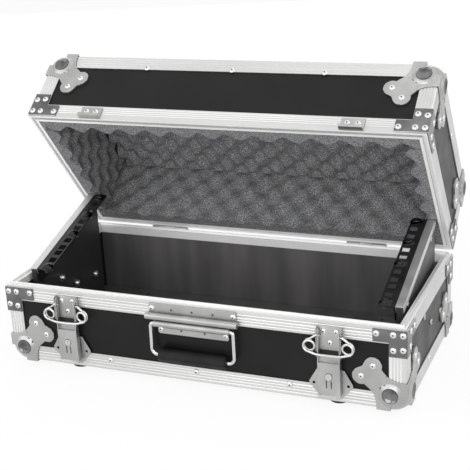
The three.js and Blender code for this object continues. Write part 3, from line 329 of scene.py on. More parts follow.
# The corner braces stand a sheet's thickness out of the rim's faces, past these half sizes;
# the land and the inner lip are painted near-white: a painted highlight on the same aluminium
rim_half_width, rim_half_depth = 0.2692, 0.1267
for part, rim_way in (("base", 1), ("lid", -1)):
    dressed(f"{part}_edge_frame", aluminium, "aluminium", 0.00022)
    rims = dressed(f"{part}_rim_frame", aluminium, "aluminium", 0.00022)
    rims.data.materials.append(brace_steel)
    rims.data.materials.append(lip_painted_highlight)
    shut_turn = Matrix.Rotation(lid_open if part == "lid" else 0, 3, "X")
    for face in rims.data.polygons:
        spot = shut_turn @ (face.center - hinge_line) + hinge_line
        facing = shut_turn @ face.normal
        on_land = facing.z * rim_way > square_on
        on_lip = any(facing[n] * spot[n] < -square_on * abs(spot[n]) for n in (0, 1))
        if abs(spot.x) > rim_half_width or abs(spot.y) > rim_half_depth:
            face.material_index = 1
        # land and lip faces take the near-white painted highlight
        elif on_land or on_lip:
            face.material_index = 2
for hand in ("left", "right"):
    dressed(f"rack_channel_{hand}", aluminium, "aluminium", 0.00025)

# ---------------------------------------------------------------------------
# Ball corners: pressed from plated sheet steel. Three two-lobed leaves lie over the
# extrusions and step down to the walls; they meet in a dished ball. Six rivets hold each.
zinc = finish("plated_steel", (0.42, 0.42, 0.415), Metallic=0.9, Roughness=0.36)
vary(zinc, "Base Color", cloud(zinc, 28, 5), (0.36, 0.36, 0.355), (0.48, 0.48, 0.47))
vary(zinc, "Roughness", cloud(zinc, 70, 5), 0.28, 0.44)
raise_grain(zinc, cloud(zinc, 260, 3), 0.00012, 0.35)

# The dishes' dark, smooth steel: its darkness is a painted reflection of a dark surround on the plated ball
dish_painted_reflection = finish("dark_dish_painted_reflection", (0.16, 0.16, 0.165), Metallic=1.0, Roughness=0.13)
vary(dish_painted_reflection, "Base Color", cloud(dish_painted_reflection, 90, 3), (0.10, 0.10, 0.105), (0.22, 0.22, 0.22))
vary(dish_painted_reflection, "Roughness", cloud(dish_painted_reflection, 200, 3), 0.10, 0.2)
raise_grain(dish_painted_reflection, cloud(dish_painted_reflection, 400, 2), 0.00002, 0.3)

wall_planes = {"base": (-1.8, 1), "lid": (211.8, -1)}
half_width, half_depth = 269.0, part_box("base_edge_frame")[1].y / MM
lid_turn = (Matrix.Translation(hinge_line) @ Matrix.Rotation(-lid_open, 4, "X")
            @ Matrix.Translation(-hinge_line))
part_place = {"base": Matrix.Identity(4), "lid": lid_turn}
part_body = {"base": "case_base", "lid": "case_lid"}
corners = [(side, end) for end in (-1, 1) for side in (-1, 1)]
lobe_near, lobe_far, ball_at = 40, 54.5, 19.0      # from the box corner: a lobe's middle, the ball's middle


def mm(x, y, z):
    """A point given in millimetres"""
    return Vector((x * MM, y * MM, z * MM))


def at_corner(part, side, end):
    """Turns millimetres inwards from a box corner's three outer planes into a place"""
    plane, way = wall_planes[part]
    return lambda a, b, c: part_place[part] @ mm(
        side * (half_width - a), end * (half_depth - b), plane + way * c)


def arc(centre, radius, start, stop, steps):
    """Points on an arc, with its angles in degrees"""
    return [(centre[0] + radius * math.cos(math.radians(start + (stop - start) * n / steps)),
             centre[1] + radius * math.sin(math.radians(start + (stop - start) * n / steps)))
            for n in range(steps + 1)]


def leaf_outline(neck=36, waist=(24, 44), lobe=11, lap=1.7):
    """One leaf: a neck at the ball, a waist and two round lobes, the same both sides of the diagonal"""
    pull = (waist[0] * 0.7, neck)
    bend = [(2 * t * (1 - t) * pull[0] + t * t * waist[0],
             (1 - t) ** 2 * neck + 2 * t * (1 - t) * pull[1] + t * t * waist[1])
            for t in (n / 8 for n in range(9))]
    half = [(-lap, neck)] + bend + arc((lobe_near, lobe_far), lobe, 200, 24, 22)
    half += [(51.3, 56.6), (52.4, 54.3), (53, 53)]
    return half + [(b, a) for a, b in reversed(half[:-1])] + [(-lap, -lap)]


def mesh_of(work):
    """A mesh from a closed bmesh, faces out"""
    bmesh.ops.recalc_face_normals(work, faces=work.faces)
    mesh = bpy.data.meshes.new("work")
    work.to_mesh(mesh)
    work.free()
    return mesh


def cuboid(low, high):
    """A box mesh between two corners"""
    work = bmesh.new()
    bmesh.ops.create_cube(work, size=1)
    for vert in work.verts:
        vert.co = Vector((l + (h - l) * (0.5 + c) for c, l, h in zip(vert.co, low, high)))
    return mesh_of(work)


def turned(profile, segments=48):
    """A lathe-turned mesh about Z from (radius, height) pairs; it closes on the axis or on itself"""
    work = bmesh.new()
    rings = []
    for radius, height in profile:
        if radius < 1e-9:
            rings.append([work.verts.new((0, 0, height))] * segments)
            continue
        rings.append([work.verts.new((
            radius * math.cos(2 * math.pi * n / segments),
            radius * math.sin(2 * math.pi * n / segments), height)) for n in range(segments)])
    for low, high in zip(rings, rings[1:]):
        for n in range(segments):
            m = (n + 1) % segments
            face = list(dict.fromkeys((low[n], low[m], high[m], high[n])))
            if len(face) > 2:
                work.faces.new(face)
    bmesh.ops.remove_doubles(work, verts=work.verts, dist=1e-7)
    return mesh_of(work)


def carved(mesh, other, operation):
    """A closed mesh joined with, cut by or kept inside another"""
    first, second = (bpy.data.objects.new("work", m) for m in (mesh, other))
    for held in (first, second):
        scene.collection.objects.link(held)
    step = first.modifiers.new("step", "BOOLEAN")
    step.operation = operation
    step.solver = "MANIFOLD"
    step.object = second
    graph = bpy.context.evaluated_depsgraph_get()
    result = bpy.data.meshes.new_from_object(first.evaluated_get(graph), depsgraph=graph)
    for held in (first, second):
        bpy.data.objects.remove(held)
    return result


def moved(mesh, rule):
    """A copy of a mesh with each point put by a rule, faces out"""
    work = bmesh.new()
    work.from_mesh(mesh)
    for vert in work.verts:
        vert.co = rule(*vert.co)
    return mesh_of(work)


def ball_corner():
    """One corner about the origin, in millimetres, with the case on the positive side of the three axes"""
    ball_radius, shell, outer, sheet = 25.5, 0.946, -1.7, 1.4      # shell: inner radius over outer
    neck_end, lobes_from, step_down, beyond = 24.1, 21.3, 0.5, 90
    shape = leaf_outline()
    turns = (lambda x, y, z: (x, y, z), lambda x, y, z: (z, x, y), lambda x, y, z: (y, z, x))
    neck = mesh_of(slab(shape, sheet, lambda u, v, t: (u, v, outer + t)))
    neck = carved(neck, cuboid((neck_end, neck_end, -9), (beyond, beyond, 9)), "DIFFERENCE")
    lobes = mesh_of(slab(shape, 2.7, lambda u, v, t: (u, v, outer + step_down + t)))
    lobes = carved(lobes, cuboid((lobes_from, lobes_from, -9), (beyond, beyond, 9)), "INTERSECT")
    whole = neck
    for n, turn in enumerate(turns):
        if n:
            whole = carved(whole, moved(neck, turn), "UNION")
        whole = carved(whole, moved(lobes, turn), "UNION")
    work = bmesh.new()
    bmesh.ops.create_uvsphere(work, u_segments=56, v_segments=28, radius=ball_radius)
    bmesh.ops.translate(work, verts=work.verts, vec=(ball_at,) * 3)
    ball = mesh_of(work)
    outside = carved(cuboid((-9, -9, -9), (ball_at,) * 3), ball, "DIFFERENCE")
    whole = carved(whole, outside, "DIFFERENCE")
    neck_close = cuboid((-1.6, -1.6, ball_at), (2.5, 2.5, ball_at + 1.3))
    for turn in turns:
        whole = carved(whole, moved(neck_close, turn), "UNION")
    inner_ball = moved(ball, lambda *spot: [ball_at + (c - ball_at) * shell for c in spot])
    hollow = carved(cuboid((outer + sheet,) * 3, (60, 60, 60)), inner_ball, "INTERSECT")
    ball = carved(ball, hollow, "DIFFERENCE")
    for turn in turns:
        ball = carved(ball, moved(cuboid((ball_at, -1, -1), (60, 60, 60)), turn), "DIFFERENCE")
    dish = turned([(0, -3), (10.7, -3), (10.7, 1.4), (9.9, 2.5), (8.4, 3.5), (6.4, 4.3),
                   (4.2, 4.8), (2.0, 5.1), (0, 5.2)])
    dish = moved(dish, lambda x, y, z: (x + ball_at, y + ball_at, z + ball_at - ball_radius))
    for turn in turns:
        ball = carved(ball, moved(dish, turn), "DIFFERENCE")
    return carved(whole, ball, "UNION")


corner_mesh = ball_corner()
dish_low, dish_high, dish_reach = -5.6, -1.2, 10.3      # where a dish's faces lie, in corner millimetres
for part in ("base", "lid"):
    for side, end in corners:
        place = at_corner(part, side, end)
        work = bmesh.new()
        work.from_mesh(moved(corner_mesh, place))
        bmesh.ops.triangulate(work, faces=work.faces)
        bmesh.ops.remove_doubles(work, verts=work.verts, dist=0.00002)
        node = f"{part}_ball_corner_{'front' if end < 0 else 'back'}_{'left' if side < 0 else 'right'}"
        corner = put(node + "_pressed", smooth_mesh(work, node, 24), zinc, part_body[part], "zinc", node)
        soften(corner, 0.0003, 24)
        # The dish faces take the dark steel of the painted reflection
        corner.data.materials.append(dish_painted_reflection)
        back_turn, (plane, way) = part_place[part].inverted(), wall_planes[part]
        for face in corner.data.polygons:
            x, y, z = back_turn @ face.center / MM
            inward = (half_width - side * x, half_depth - end * y, way * (z - plane))
            depth, *others = sorted(inward)
            aside = math.hypot(*(ball_at - other for other in others))
            if dish_low < depth < dish_high and aside < dish_reach:
                face.material_index = 1

# ---------------------------------------------------------------------------
# Blind rivets of bright aluminium with the dark end of the pin in the middle. They hold
# the corners, the extrusions, the rim braces, the handle, the latches and the hinges.
bright = finish("bright_aluminium", (0.72, 0.72, 0.72), Metallic=1.0, Roughness=0.26)
vary(bright, "Roughness", cloud(bright, 500, 3), 0.2, 0.34)
raise_grain(bright, cloud(bright, 900, 2), 0.00003, 0.4)
pin_black = finish("pin_end", (0.05, 0.05, 0.05), Metallic=0.6, Roughness=0.5)
vary(pin_black, "Base Color", cloud(pin_black, 900, 2), (0.03, 0.03, 0.03), (0.10, 0.10, 0.10))


fastener_sizes = (
    "Collar radius", "Collar top radius", "Collar height", "Dome radius", "Dome height", "Recess radius")


def fastener_tree(name):
    """Places a collar, a dome and a recess on every point, square to its facing"""
    tree = bpy.data.node_groups.new(name, "GeometryNodeTree")
    face = tree.interface
    face.new_socket("Geometry", in_out="INPUT", socket_type="NodeSocketGeometry")
    for size in fastener_sizes:
        face.new_socket(size, in_out="INPUT", socket_type="NodeSocketFloat")
    for count in ("Collar sides", "Recess sides"):
        face.new_socket(count, in_out="INPUT", socket_type="NodeSocketInt")
    for dress in ("Head finish", "Recess finish"):
        face.new_socket(dress, in_out="INPUT", socket_type="NodeSocketMaterial")
    face.new_socket("Geometry", in_out="OUTPUT", socket_type="NodeSocketGeometry")
    nodes, link = tree.nodes, tree.links.new
    given, result = nodes.new("NodeGroupInput"), nodes.new("NodeGroupOutput")
    value = given.outputs

    collar = nodes.new("GeometryNodeMeshCone")
    link(value["Collar sides"], collar.inputs["Vertices"])
    link(value["Collar top radius"], collar.inputs["Radius Top"])
    link(value["Collar radius"], collar.inputs["Radius Bottom"])
    link(value["Collar height"], collar.inputs["Depth"])

    dome = nodes.new("GeometryNodeMeshUVSphere")
    dome.inputs["Segments"].default_value = 20
    dome.inputs["Rings"].default_value = 10
    dome.inputs["Radius"].default_value = 1
    dome_size = nodes.new("ShaderNodeCombineXYZ")
    link(value["Dome radius"], dome_size.inputs[0])
    link(value["Dome radius"], dome_size.inputs[1])
    link(value["Dome height"], dome_size.inputs[2])
    dome_lift = nodes.new("ShaderNodeCombineXYZ")
    link(value["Collar height"], dome_lift.inputs[2])
    dome_put = nodes.new("GeometryNodeTransform")
    link(dome.outputs["Mesh"], dome_put.inputs["Geometry"])
    link(dome_lift.outputs[0], dome_put.inputs["Translation"])
    link(dome_size.outputs[0], dome_put.inputs["Scale"])
    head = nodes.new("GeometryNodeJoinGeometry")
    link(collar.outputs["Mesh"], head.inputs[0])
    link(dome_put.outputs[0], head.inputs[0])

    recess = nodes.new("GeometryNodeMeshCone")
    link(value["Recess sides"], recess.inputs["Vertices"])
    link(value["Recess radius"], recess.inputs["Radius Top"])
    link(value["Recess radius"], recess.inputs["Radius Bottom"])
    recess_depth = nodes.new("ShaderNodeMath")
    recess_depth.operation = "MULTIPLY"
    recess_depth.inputs[1].default_value = 0.2
    link(value["Dome height"], recess_depth.inputs[0])
    link(recess_depth.outputs[0], recess.inputs["Depth"])
    top = nodes.new("ShaderNodeMath")
    top.operation = "MULTIPLY_ADD"
    top.inputs[1].default_value = 0.84
    link(value["Dome height"], top.inputs[0])
    link(value["Collar height"], top.inputs[2])
    recess_lift = nodes.new("ShaderNodeCombineXYZ")
    link(top.outputs[0], recess_lift.inputs[2])
    recess_put = nodes.new("GeometryNodeTransform")
    link(recess.outputs["Mesh"], recess_put.inputs["Geometry"])
    link(recess_lift.outputs[0], recess_put.inputs["Translation"])

    facing = nodes.new("GeometryNodeInputNamedAttribute")
    facing.data_type = "FLOAT_VECTOR"
    facing.inputs["Name"].default_value = "facing"
    turn = nodes.new("FunctionNodeAlignRotationToVector")
    turn.axis = "Z"
    link(facing.outputs["Attribute"], turn.inputs["Vector"])
    whole = nodes.new("GeometryNodeJoinGeometry")
    for shape, dress in ((head, "Head finish"), (recess_put, "Recess finish")):
        spread = nodes.new("GeometryNodeInstanceOnPoints")
        link(value["Geometry"], spread.inputs["Points"])
        link(shape.outputs[0], spread.inputs["Instance"])
        link(turn.outputs[0], spread.inputs["Rotation"])
        real = nodes.new("GeometryNodeRealizeInstances")
        link(spread.outputs[0], real.inputs[0])
        coat = nodes.new("GeometryNodeSetMaterial")
        link(real.outputs[0], coat.inputs["Geometry"])
        link(value[dress], coat.inputs["Material"])
        link(coat.outputs[0], whole.inputs[0])
    link(whole.outputs[0], result.inputs[0])
    return tree


fasteners = fastener_tree("fasteners")


def fasten(name, spots, body, slot, sizes, head_finish, recess_finish, sides=(20, 10)):
    """Fasteners at (place, facing) pairs, made one plain mesh; sizes are in metres, as fastener_sizes"""
    points = bpy.data.meshes.new(name)
    points.from_pydata([tuple(at) for at, _ in spots], [], [])
    facing = points.attributes.new("facing", "FLOAT_VECTOR", "POINT")
    facing.data.foreach_set("vector", [c for _, way in spots for c in way])
    holder = bpy.data.objects.new(name, points)
    scene.collection.objects.link(holder)
    made = holder.modifiers.new("fasteners", "NODES")
    made.node_group = fasteners
    given = {
        item.name: item.identifier for item in fasteners.interface.items_tree if item.in_out == "INPUT"}
    for socket, size in zip(fastener_sizes, sizes):
        made[given[socket]] = size
    made[given["Collar sides"]], made[given["Recess sides"]] = sides
    made[given["Head finish"]] = head_finish
    made[given["Recess finish"]] = recess_finish
    graph = bpy.context.evaluated_depsgraph_get()
    mesh = bpy.data.meshes.new_from_object(holder.evaluated_get(graph), depsgraph=graph)
    bpy.data.objects.remove(holder)
    mesh.shade_smooth()
    mesh.set_sharp_from_angle(angle=math.radians(40))
    return put(name, mesh, None, body, slot)


rivet_sizes = (0.0041, 0.0039, 0.0004, 0.0037, 0.0014, 0.0011)
rivets = {"base": [], "lid": []}


def rivet(part, place, ways, a, b, c):
    """Adds a rivet given in corner millimetres; ways tells which of the three planes it faces"""
    at = place(a, b, c)
    out = place(a - ways[0], b - ways[1], c - ways[2])
    rivets[part].append((at, (out - at).normalized()))


for part in ("base", "lid"):
    for side, end in corners:
        place = at_corner(part, side, end)
        for u, v in ((lobe_near, lobe_far), (lobe_far, lobe_near)):
            rivet(part, place, (0, 0, 1), u, v, -1.2)
            rivet(part, place, (0, 1, 0), u, -1.2, v)
            rivet(part, place, (1, 0, 0), -1.2, u, v)
        # Rim braces, their height measured down from the rim
        rim = 106.0 if part == "base" else 107.0
        for along, drop in ((35.5, 8.7), (15.3, 8.7), (15.3, 28.5)):
            rivet(part, place, (0, 1, 0), along, -1.5, rim - drop)
        for along, drop in ((32.7, 8.7), (16, 8.7), (13, 27)):
            rivet(part, place, (1, 0, 0), -1.5, along, rim - drop)
        for drop in (8.7, 27):
            rivet(part, place, (0, 1, 0), 3.6, -1.4, rim - drop)

# Along the extrusions: on both legs of the level edges and beside the rim
for part, height in (("base", 16), ("lid", 20)):
    for end in (-1, 1):
        for side, along in ((-1, 147), (1, 144.5), (1, 269)):
            place = at_corner(part, side, end)
            rivet(part, place, (0, 1, 0), along, 0, height - 1.5)
            rivet(part, place, (0, 0, 1), along, height - 1.5, 0)
    for side in (-1, 1):
        place = at_corner(part, side, -1)
        for along in (70.0, 126.5, 183.0):
            if along == 126.5:
                rivet(part, place, (1, 0, 0), 0, along - 9, height - 1.5)
            rivet(part, place, (0, 0, 1), height - 1.5, along, 0)
for part in ("base", "lid"):
    fasten(f"{part}_rivets", rivets[part], part_body[part], "aluminium", rivet_sizes, bright, pin_black)

# ---------------------------------------------------------------------------
# Lid lining: five pads of open-cell grey foam, their inner side cut to an egg-crate
# relief, glued to the walls. The cut edges show at the rim, wavy where the relief runs out.
foam = finish("grey_foam", (0.11, 0.113, 0.118), Roughness=0.95, Specular_IOR_Level=0.1)
vary(foam, "Base Color", cloud(foam, 820, 4), (0.11, 0.113, 0.115), (0.6, 0.605, 0.61), (0.44, 0.76))
raise_grain(foam, cloud(foam, 900, 4), 0.0006, 0.8)
foam_cut = finish("foam_cut_edge", (0.2, 0.2, 0.21), Roughness=0.95, Specular_IOR_Level=0.1)
vary(foam_cut, "Base Color", cloud(foam_cut, 700, 4), (0.1, 0.102, 0.106), (0.38, 0.385, 0.39), (0.38, 0.68))
raise_grain(foam_cut, cloud(foam_cut, 900, 4), 0.0005, 0.8)

shut = lid_turn.inverted()


def shut_box(node):
    """Lowest and highest corner of a lid node as it lies with the lid shut"""
    spots = [shut @ vert.co for vert in frame["nodes"][node].data.vertices]
    return [Vector(pick(spot[n] for spot in spots) for n in range(3)) for pick in (min, max)]


def crate_height(u, v, thin, thick=0.0198, period=0.038):
    """Foam thickness over the glued face: round peaks and hollows in alternate rows"""
    wave = math.sin(2 * math.pi * u / period) * math.sin(2 * math.pi * v / period)
    wobble = 0.12 * math.sin(u * 61 + 2.0 * math.sin(v * 43)) * math.sin(v * 57 + 1.3)
    level = min(max(0.5 + 0.5 * wave + wobble * (1 - abs(wave)), 0), 1)
    return thin + (thick - thin) * level ** 0.9


def crate_pad(node, axis, way, thin, step=0.0024):
    """A closed pad on a node's box: axis is its thickness, way the inward side"""
    low, high = shut_box(node)
    across = [n for n in range(3) if n != axis]
    counts = [max(2, round((high[n] - low[n]) / step)) for n in across]
    work = bmesh.new()
    backs, fronts = [], []
    for i in range(counts[0] + 1):
        for j in range(counts[1] + 1):
            spot = [0, 0, 0]
            for n, at, count in zip(across, (i, j), counts):
                spot[n] = low[n] + (high[n] - low[n]) * at / count
            glued = list(spot)
            glued[axis] = low[axis] if way > 0 else high[axis]
            relief = list(glued)
            relief[axis] += way * crate_height(spot[across[0]], spot[across[1]], thin)
            fronts.append(work.verts.new(relief))
            backs.append(work.verts.new(glued) if i in (0, counts[0]) or j in (0, counts[1]) else None)
    row = counts[1] + 1
    for i in range(counts[0]):
        for j in range(counts[1]):
            first = i * row + j
            work.faces.new([fronts[k] for k in (first, first + row, first + row + 1, first + 1)])
    rim = [(i, 0) for i in range(counts[0])] + [(counts[0], j) for j in range(counts[1])]
    rim += [(i, counts[1]) for i in range(counts[0], 0, -1)] + [(0, j) for j in range(counts[1], 0, -1)]
    for (i, j), (k, m) in zip(rim, rim[1:] + rim[:1]):
        here, after = i * row + j, k * row + m
        wall = work.faces.new([fronts[here], fronts[after], backs[after], backs[here]])
        wall.material_index = 1
    work.faces.new([backs[i * row + j] for i, j in rim])
    bmesh.ops.recalc_face_normals(work, faces=work.faces)
    mesh = bpy.data.meshes.new(node)
    work.to_mesh(mesh)
    work.free()
    for dress in (foam, foam_cut):
        mesh.materials.append(dress)
    return mesh


# The rack channels' upper ends, in the slope's own frame: the side pads are notched there
slope_y, slope_z, slope = -86.5, 112.7, math.radians(17)
slope_turn = Matrix.Translation((0, slope_y * MM, slope_z * MM)) @ Matrix.Rotation(slope, 4, "X")
notch_low, notch_high = (0.22, 0.166, -0.019), (0.27, 0.1855, 0.0015)
for node, axis, way in (
    ("lid_foam_top", 2, -1), ("lid_foam_front", 1, 1), ("lid_foam_back", 1, -1),
    ("lid_foam_left", 0, 1), ("lid_foam_right", 0, -1),
):
    pad = crate_pad(node, axis, way, 0.0125 if node == "lid_foam_back" else 0.0085)
    if axis == 0:
        near, far = sorted((-way * notch_low[0], -way * notch_high[0]))
        notch = cuboid((near, *notch_low[1:]), (far, *notch_high[1:]))
        notch.transform(shut @ slope_turn)
        pad = carved(pad, notch, "DIFFERENCE")
        for dress in (foam, foam_cut)[len(pad.materials):]:
            pad.materials.append(dress)
    pad.transform(lid_turn)
    pad.shade_smooth()
    pad.set_sharp_from_angle(angle=math.radians(50))
    put(node + "_pad", pad, None, "case_lid", "foam", node)

# ---------------------------------------------------------------------------
# Rack strips: black-painted steel angle with square holes for cage nuts, four screws
# with cup washers in each, screwed to the sloping edge of the boards.
black_steel = finish("black_painted_steel", (0.010, 0.010, 0.011), Roughness=0.4, Specular_IOR_Level=0.32)
vary(black_steel, "Roughness", cloud(black_steel, 90, 5), 0.3, 0.5)
vary(black_steel, "Base Color", cloud(black_steel, 40, 5), (0.006, 0.006, 0.007), (0.016, 0.016, 0.017))
raise_grain(black_steel, cloud(black_steel, 1200, 2), 0.00003, 0.5)
black_chrome = finish("black_screw", (0.035, 0.035, 0.037), Metallic=1.0, Roughness=0.14)
vary(black_chrome, "Roughness", cloud(black_chrome, 300, 3), 0.1, 0.24)
raise_grain(black_chrome, cloud(black_chrome, 900, 2), 0.00002, 0.4)

rack_unit = 44.45
strip_inner, strip_outer, strip_length, hole_middle, hole_half = 225.0, 245.3, 177.8, 232.55, 4.75
strip_leg, strip_wall, side_screw_drop = 22, 2, 13.7
board_inner, board_thickness = 247.1, 7
hole_places = [rack_unit * (unit + share) for unit in range(4) for share in (1 / 7, 1 / 2, 6 / 7)]
screw_places = [hole_places[n] for n in (0, 5, 8, 11)]


def slope_place(hand, x, along, height):
    """A place on the sloping racks, in millimetres along the slope and square to it"""
    return slope_turn @ mm(hand * x, along, height)


def strip_sheet():
    """The strip's middle surface turned to a closed sheet, right hand, in slope millimetres"""
    work = bmesh.new()
    columns = [strip_inner, hole_middle - hole_half, hole_middle + hole_half, strip_outer]
    rows = sorted([0, strip_length] + [h + d for h in hole_places for d in (-hole_half, hole_half)])
    top = [[work.verts.new((x, y, 0)) for x in columns] for y in rows]
    low = [work.verts.new((strip_outer, y, -strip_leg)) for y in rows]
    for n in range(len(rows) - 1):
        for m in range(3):
            if not (m == 1 and n % 2):
                work.faces.new((top[n][m], top[n][m + 1], top[n + 1][m + 1], top[n + 1][m]))
        work.faces.new((top[n][3], low[n], low[n + 1], top[n + 1][3]))
    mesh = bpy.data.meshes.new("work")
    work.to_mesh(mesh)
    work.free()
    held = bpy.data.objects.new("work", mesh)
    scene.collection.objects.link(held)
    wall = held.modifiers.new("sheet", "SOLIDIFY")
    wall.thickness = strip_wall
    wall.offset = -1
    wall.use_even_offset = True
    graph = bpy.context.evaluated_depsgraph_get()
    result = bpy.data.meshes.new_from_object(held.evaluated_get(graph), depsgraph=graph)
    bpy.data.objects.remove(held)
    return result


sheet = strip_sheet()
slope_up = slope_turn.to_3x3() @ Vector((0, 0, 1))
for hand, word in ((-1, "left"), (1, "right")):
    work = bmesh.new()
    work.from_mesh(moved(sheet, lambda x, y, z: slope_place(hand, x, y, z)))
    strip = put(f"rack_strip_{word}_pressed", smooth_mesh(work, "strip"), black_steel,
                "case_base", "black_steel", f"rack_strip_{word}")
    soften(strip, 0.0005)
    fasten(f"rack_screws_{word}", [(slope_place(hand, hole_middle, y, 0), slope_up) for y in screw_places],
           "case_base", "black_steel", (0.0081, 0.0055, 0.0021, 0.0049, 0.0026, 0.0019),
           black_chrome, pin_black, (32, 6))
    fasten(f"cage_nuts_{word}",
           [(slope_place(hand, hole_middle, y, -strip_wall), -slope_up) for y in screw_places],
           "case_base", "zinc", (0.0076, 0.0076, 0.003, 0.003, 0.003, 0.001), zinc, pin_black, (4, 8))
    side_way = Vector((hand, 0, 0))
    side_spots = [share_along * strip_length for share_along in (0.124, 0.866)]
    fasten(f"strip_screws_{word}",
           [(slope_place(hand, strip_outer - strip_wall, y, -side_screw_drop), -side_way)
            for y in side_spots]
           + [(slope_place(hand, board_inner + board_thickness, y, -side_screw_drop), side_way)
              for y in side_spots],
           "case_base", "zinc", (0.004, 0.0038, 0.0008, 0.0034, 0.0012, 0.0014), zinc, pin_black, (20, 6))

# ---------------------------------------------------------------------------
# Rack boards: laminate-faced ply on edge, their tops in the sloping channels. Three bolts
# with spacer tubes hold each off the wall: pan heads outside, bright dome nuts inside.
board_low, board_back, under_channel, wall_height = 7.3, 89.5, 1.57, 83.2
board_shape = [(slope_y, board_low), (board_back, board_low)] + [
    (y, slope_z + (y - slope_y) * math.tan(slope) - under_channel) for y in (board_back, slope_y)]
bolt_spots = [(-half_depth + depth * 2 * half_depth, height * wall_height)
              for depth, height in ((0.38, 0.94), (0.526, 0.67), (0.738, 0.59))]
# The boards' laminate is painted paler than the walls' black: painted light inside the base
board_laminate = laminate_finish("board_laminate", (0.022, 0.0215, 0.021), (0.045, 0.044, 0.043), 0.35)
for hand, word in ((-1, "left"), (1, "right")):
    work = slab(board_shape, board_thickness, lambda y, z, t: mm(hand * (board_inner + t), y, z))
    board = put(f"rack_board_{word}_sawn", smooth_mesh(work, "board"), board_laminate,
                "case_base", "laminate", f"rack_board_{word}")
    soften(board, 0.0004)
    side_way = Vector((hand, 0, 0))
    for name, x, way, sizes, dress, sides in (
        ("wall_bolts", 267.4, 1, (0.0042, 0.0041, 0.0008, 0.0039, 0.0018, 0.0017), zinc, (28, 6)),
        ("dome_nuts", 247.0, -1, (0.0062, 0.0062, 0.0042, 0.0050, 0.0044, 0.0004), bright, (6, 6)),
        ("spacer_tubes", 254.0, 1, (0.006, 0.006, 0.0062, 0.001, 0.0001, 0.0005), zinc, (28, 6)),
    ):
        fasten(f"{name}_{word}", [(mm(hand * x, y, z), way * side_way) for y, z in bolt_spots],
               "case_base", "zinc", sizes, dress, pin_black, sides)

# ---------------------------------------------------------------------------
# Feet: turned black rubber, one near each corner of the floor, with a recess for the
# screw that holds it from below.
rubber = finish("black_rubber", (0.007, 0.007, 0.007), Roughness=0.6, Specular_IOR_Level=0.25)
vary(rubber, "Base Color", cloud(rubber, 60, 5), (0.005, 0.005, 0.005), (0.012, 0.012, 0.012))
vary(rubber, "Roughness", cloud(rubber, 120, 4), 0.5, 0.72)
raise_grain(rubber, cloud(rubber, 1400, 2), 0.00005, 0.5)

foot_x, foot_y, screw_level = 180.0, 101.0, -6.2
foot_mesh = turned([
    (0, -2.1), (13.5, -2.1), (14, -2.6), (14, -8.3), (13.2, -10.3), (12.2, -11.1),
    (6.0, -11.1), (5.5, -10.7), (5.5, -6.3), (0, screw_level)])
for side, end in corners:
    x, y = side * foot_x, end * foot_y
    word = f"foot_{'front' if end < 0 else 'back'}_{'left' if side < 0 else 'right'}"
    work = bmesh.new()
    work.from_mesh(moved(foot_mesh, lambda a, b, c: mm(x + a, y + b, c)))
    put(word + "_turned", smooth_mesh(work, word), rubber, "case_base", "rubber", word)
fasten("foot_screws",
       [(mm(side * foot_x, end * foot_y, screw_level), Vector((0, 0, -1))) for side, end in corners],
       "case_base", "zinc", (0.0042, 0.0041, 0.0006, 0.0039, 0.0015, 0.0015), zinc, pin_black, (24, 6))

# ---------------------------------------------------------------------------
# Handle: a plated wire bail with a moulded rubber grip hangs in the rolled edge of a
# riveted steel plate; a second plate with a rolled edge above takes the wear.
chrome = finish("bright_plated_wire", (0.62, 0.62, 0.615), Metallic=1.0, Roughness=0.16)
vary(chrome, "Roughness", cloud(chrome, 140, 4), 0.12, 0.24)
raise_grain(chrome, cloud(chrome, 500, 2), 0.00002, 0.4)


def add_tube(work, path, radius, sides):
    """A round wire through points, added to a bmesh"""
    normal = Vector((0.31, 0.2, 0.93))
    rings = []
    for n, point in enumerate(path):
        along = (path[min(n + 1, len(path) - 1)] - path[max(n - 1, 0)]).normalized()
        normal = (normal - along * normal.dot(along)).normalized()
        across = along.cross(normal)
        rings.append([work.verts.new(point + radius * (
            math.cos(2 * math.pi * k / sides) * normal + math.sin(2 * math.pi * k / sides) * across))
            for k in range(sides)])
    for low, high in zip(rings, rings[1:]):
        for k in range(sides):
            m = (k + 1) % sides
            work.faces.new((low[k], low[m], high[m], high[k]))
    work.faces.new(reversed(rings[0]))
    work.faces.new(rings[-1])


def eased(path):
    """Corners of a path cut away twice, its ends kept"""
    for _ in range(2):
        cut = [path[0]]
        for a, b in zip(path, path[1:]):
            cut += [a.lerp(b, 0.25), a.lerp(b, 0.75)]
        path = cut + [path[-1]]
    return path


roll_out, bail_height, grip_drop, lean_back = 6.2, 76.5, 42, 0.9
bail_axis = mm(0, -half_depth - roll_out, bail_height)
bail_turn = Matrix.Translation(bail_axis) @ Matrix.Rotation(math.asin(-lean_back / grip_drop), 4, "X")
half = ([(x, -grip_drop) for x in (0.3, 16, 32)] + arc((48, -34), 8, -90, 0, 10)
        + [(56, -24), (56, -14)] + arc((52, -4), 4, 0, 90, 6) + [(36, 0), (18, 0)])
loop = half + [(-x, z) for x, z in reversed(half)]
work = bmesh.new()
add_tube(work, [bail_turn @ mm(x, 0, z) for x, z in loop], 2.6 * MM, 18)
put("handle_bail_bent", smooth_mesh(work, "handle_bail"), chrome, "carry_handle", "chrome", "handle_bail")

grip_end = [(8.6, 42), (8.4, 44.2), (7.6, 45.5), (6.2, 46), (0, 46)]
grip_shape = turned([(radius, -away) for radius, away in reversed(grip_end)] + grip_end)
work = bmesh.new()
work.from_mesh(moved(grip_shape, lambda a, b, c: bail_turn @ mm(c, b, a - grip_drop)))
put("handle_grip_moulded", smooth_mesh(work, "handle_grip"), rubber, "carry_handle", "rubber", "handle_grip")

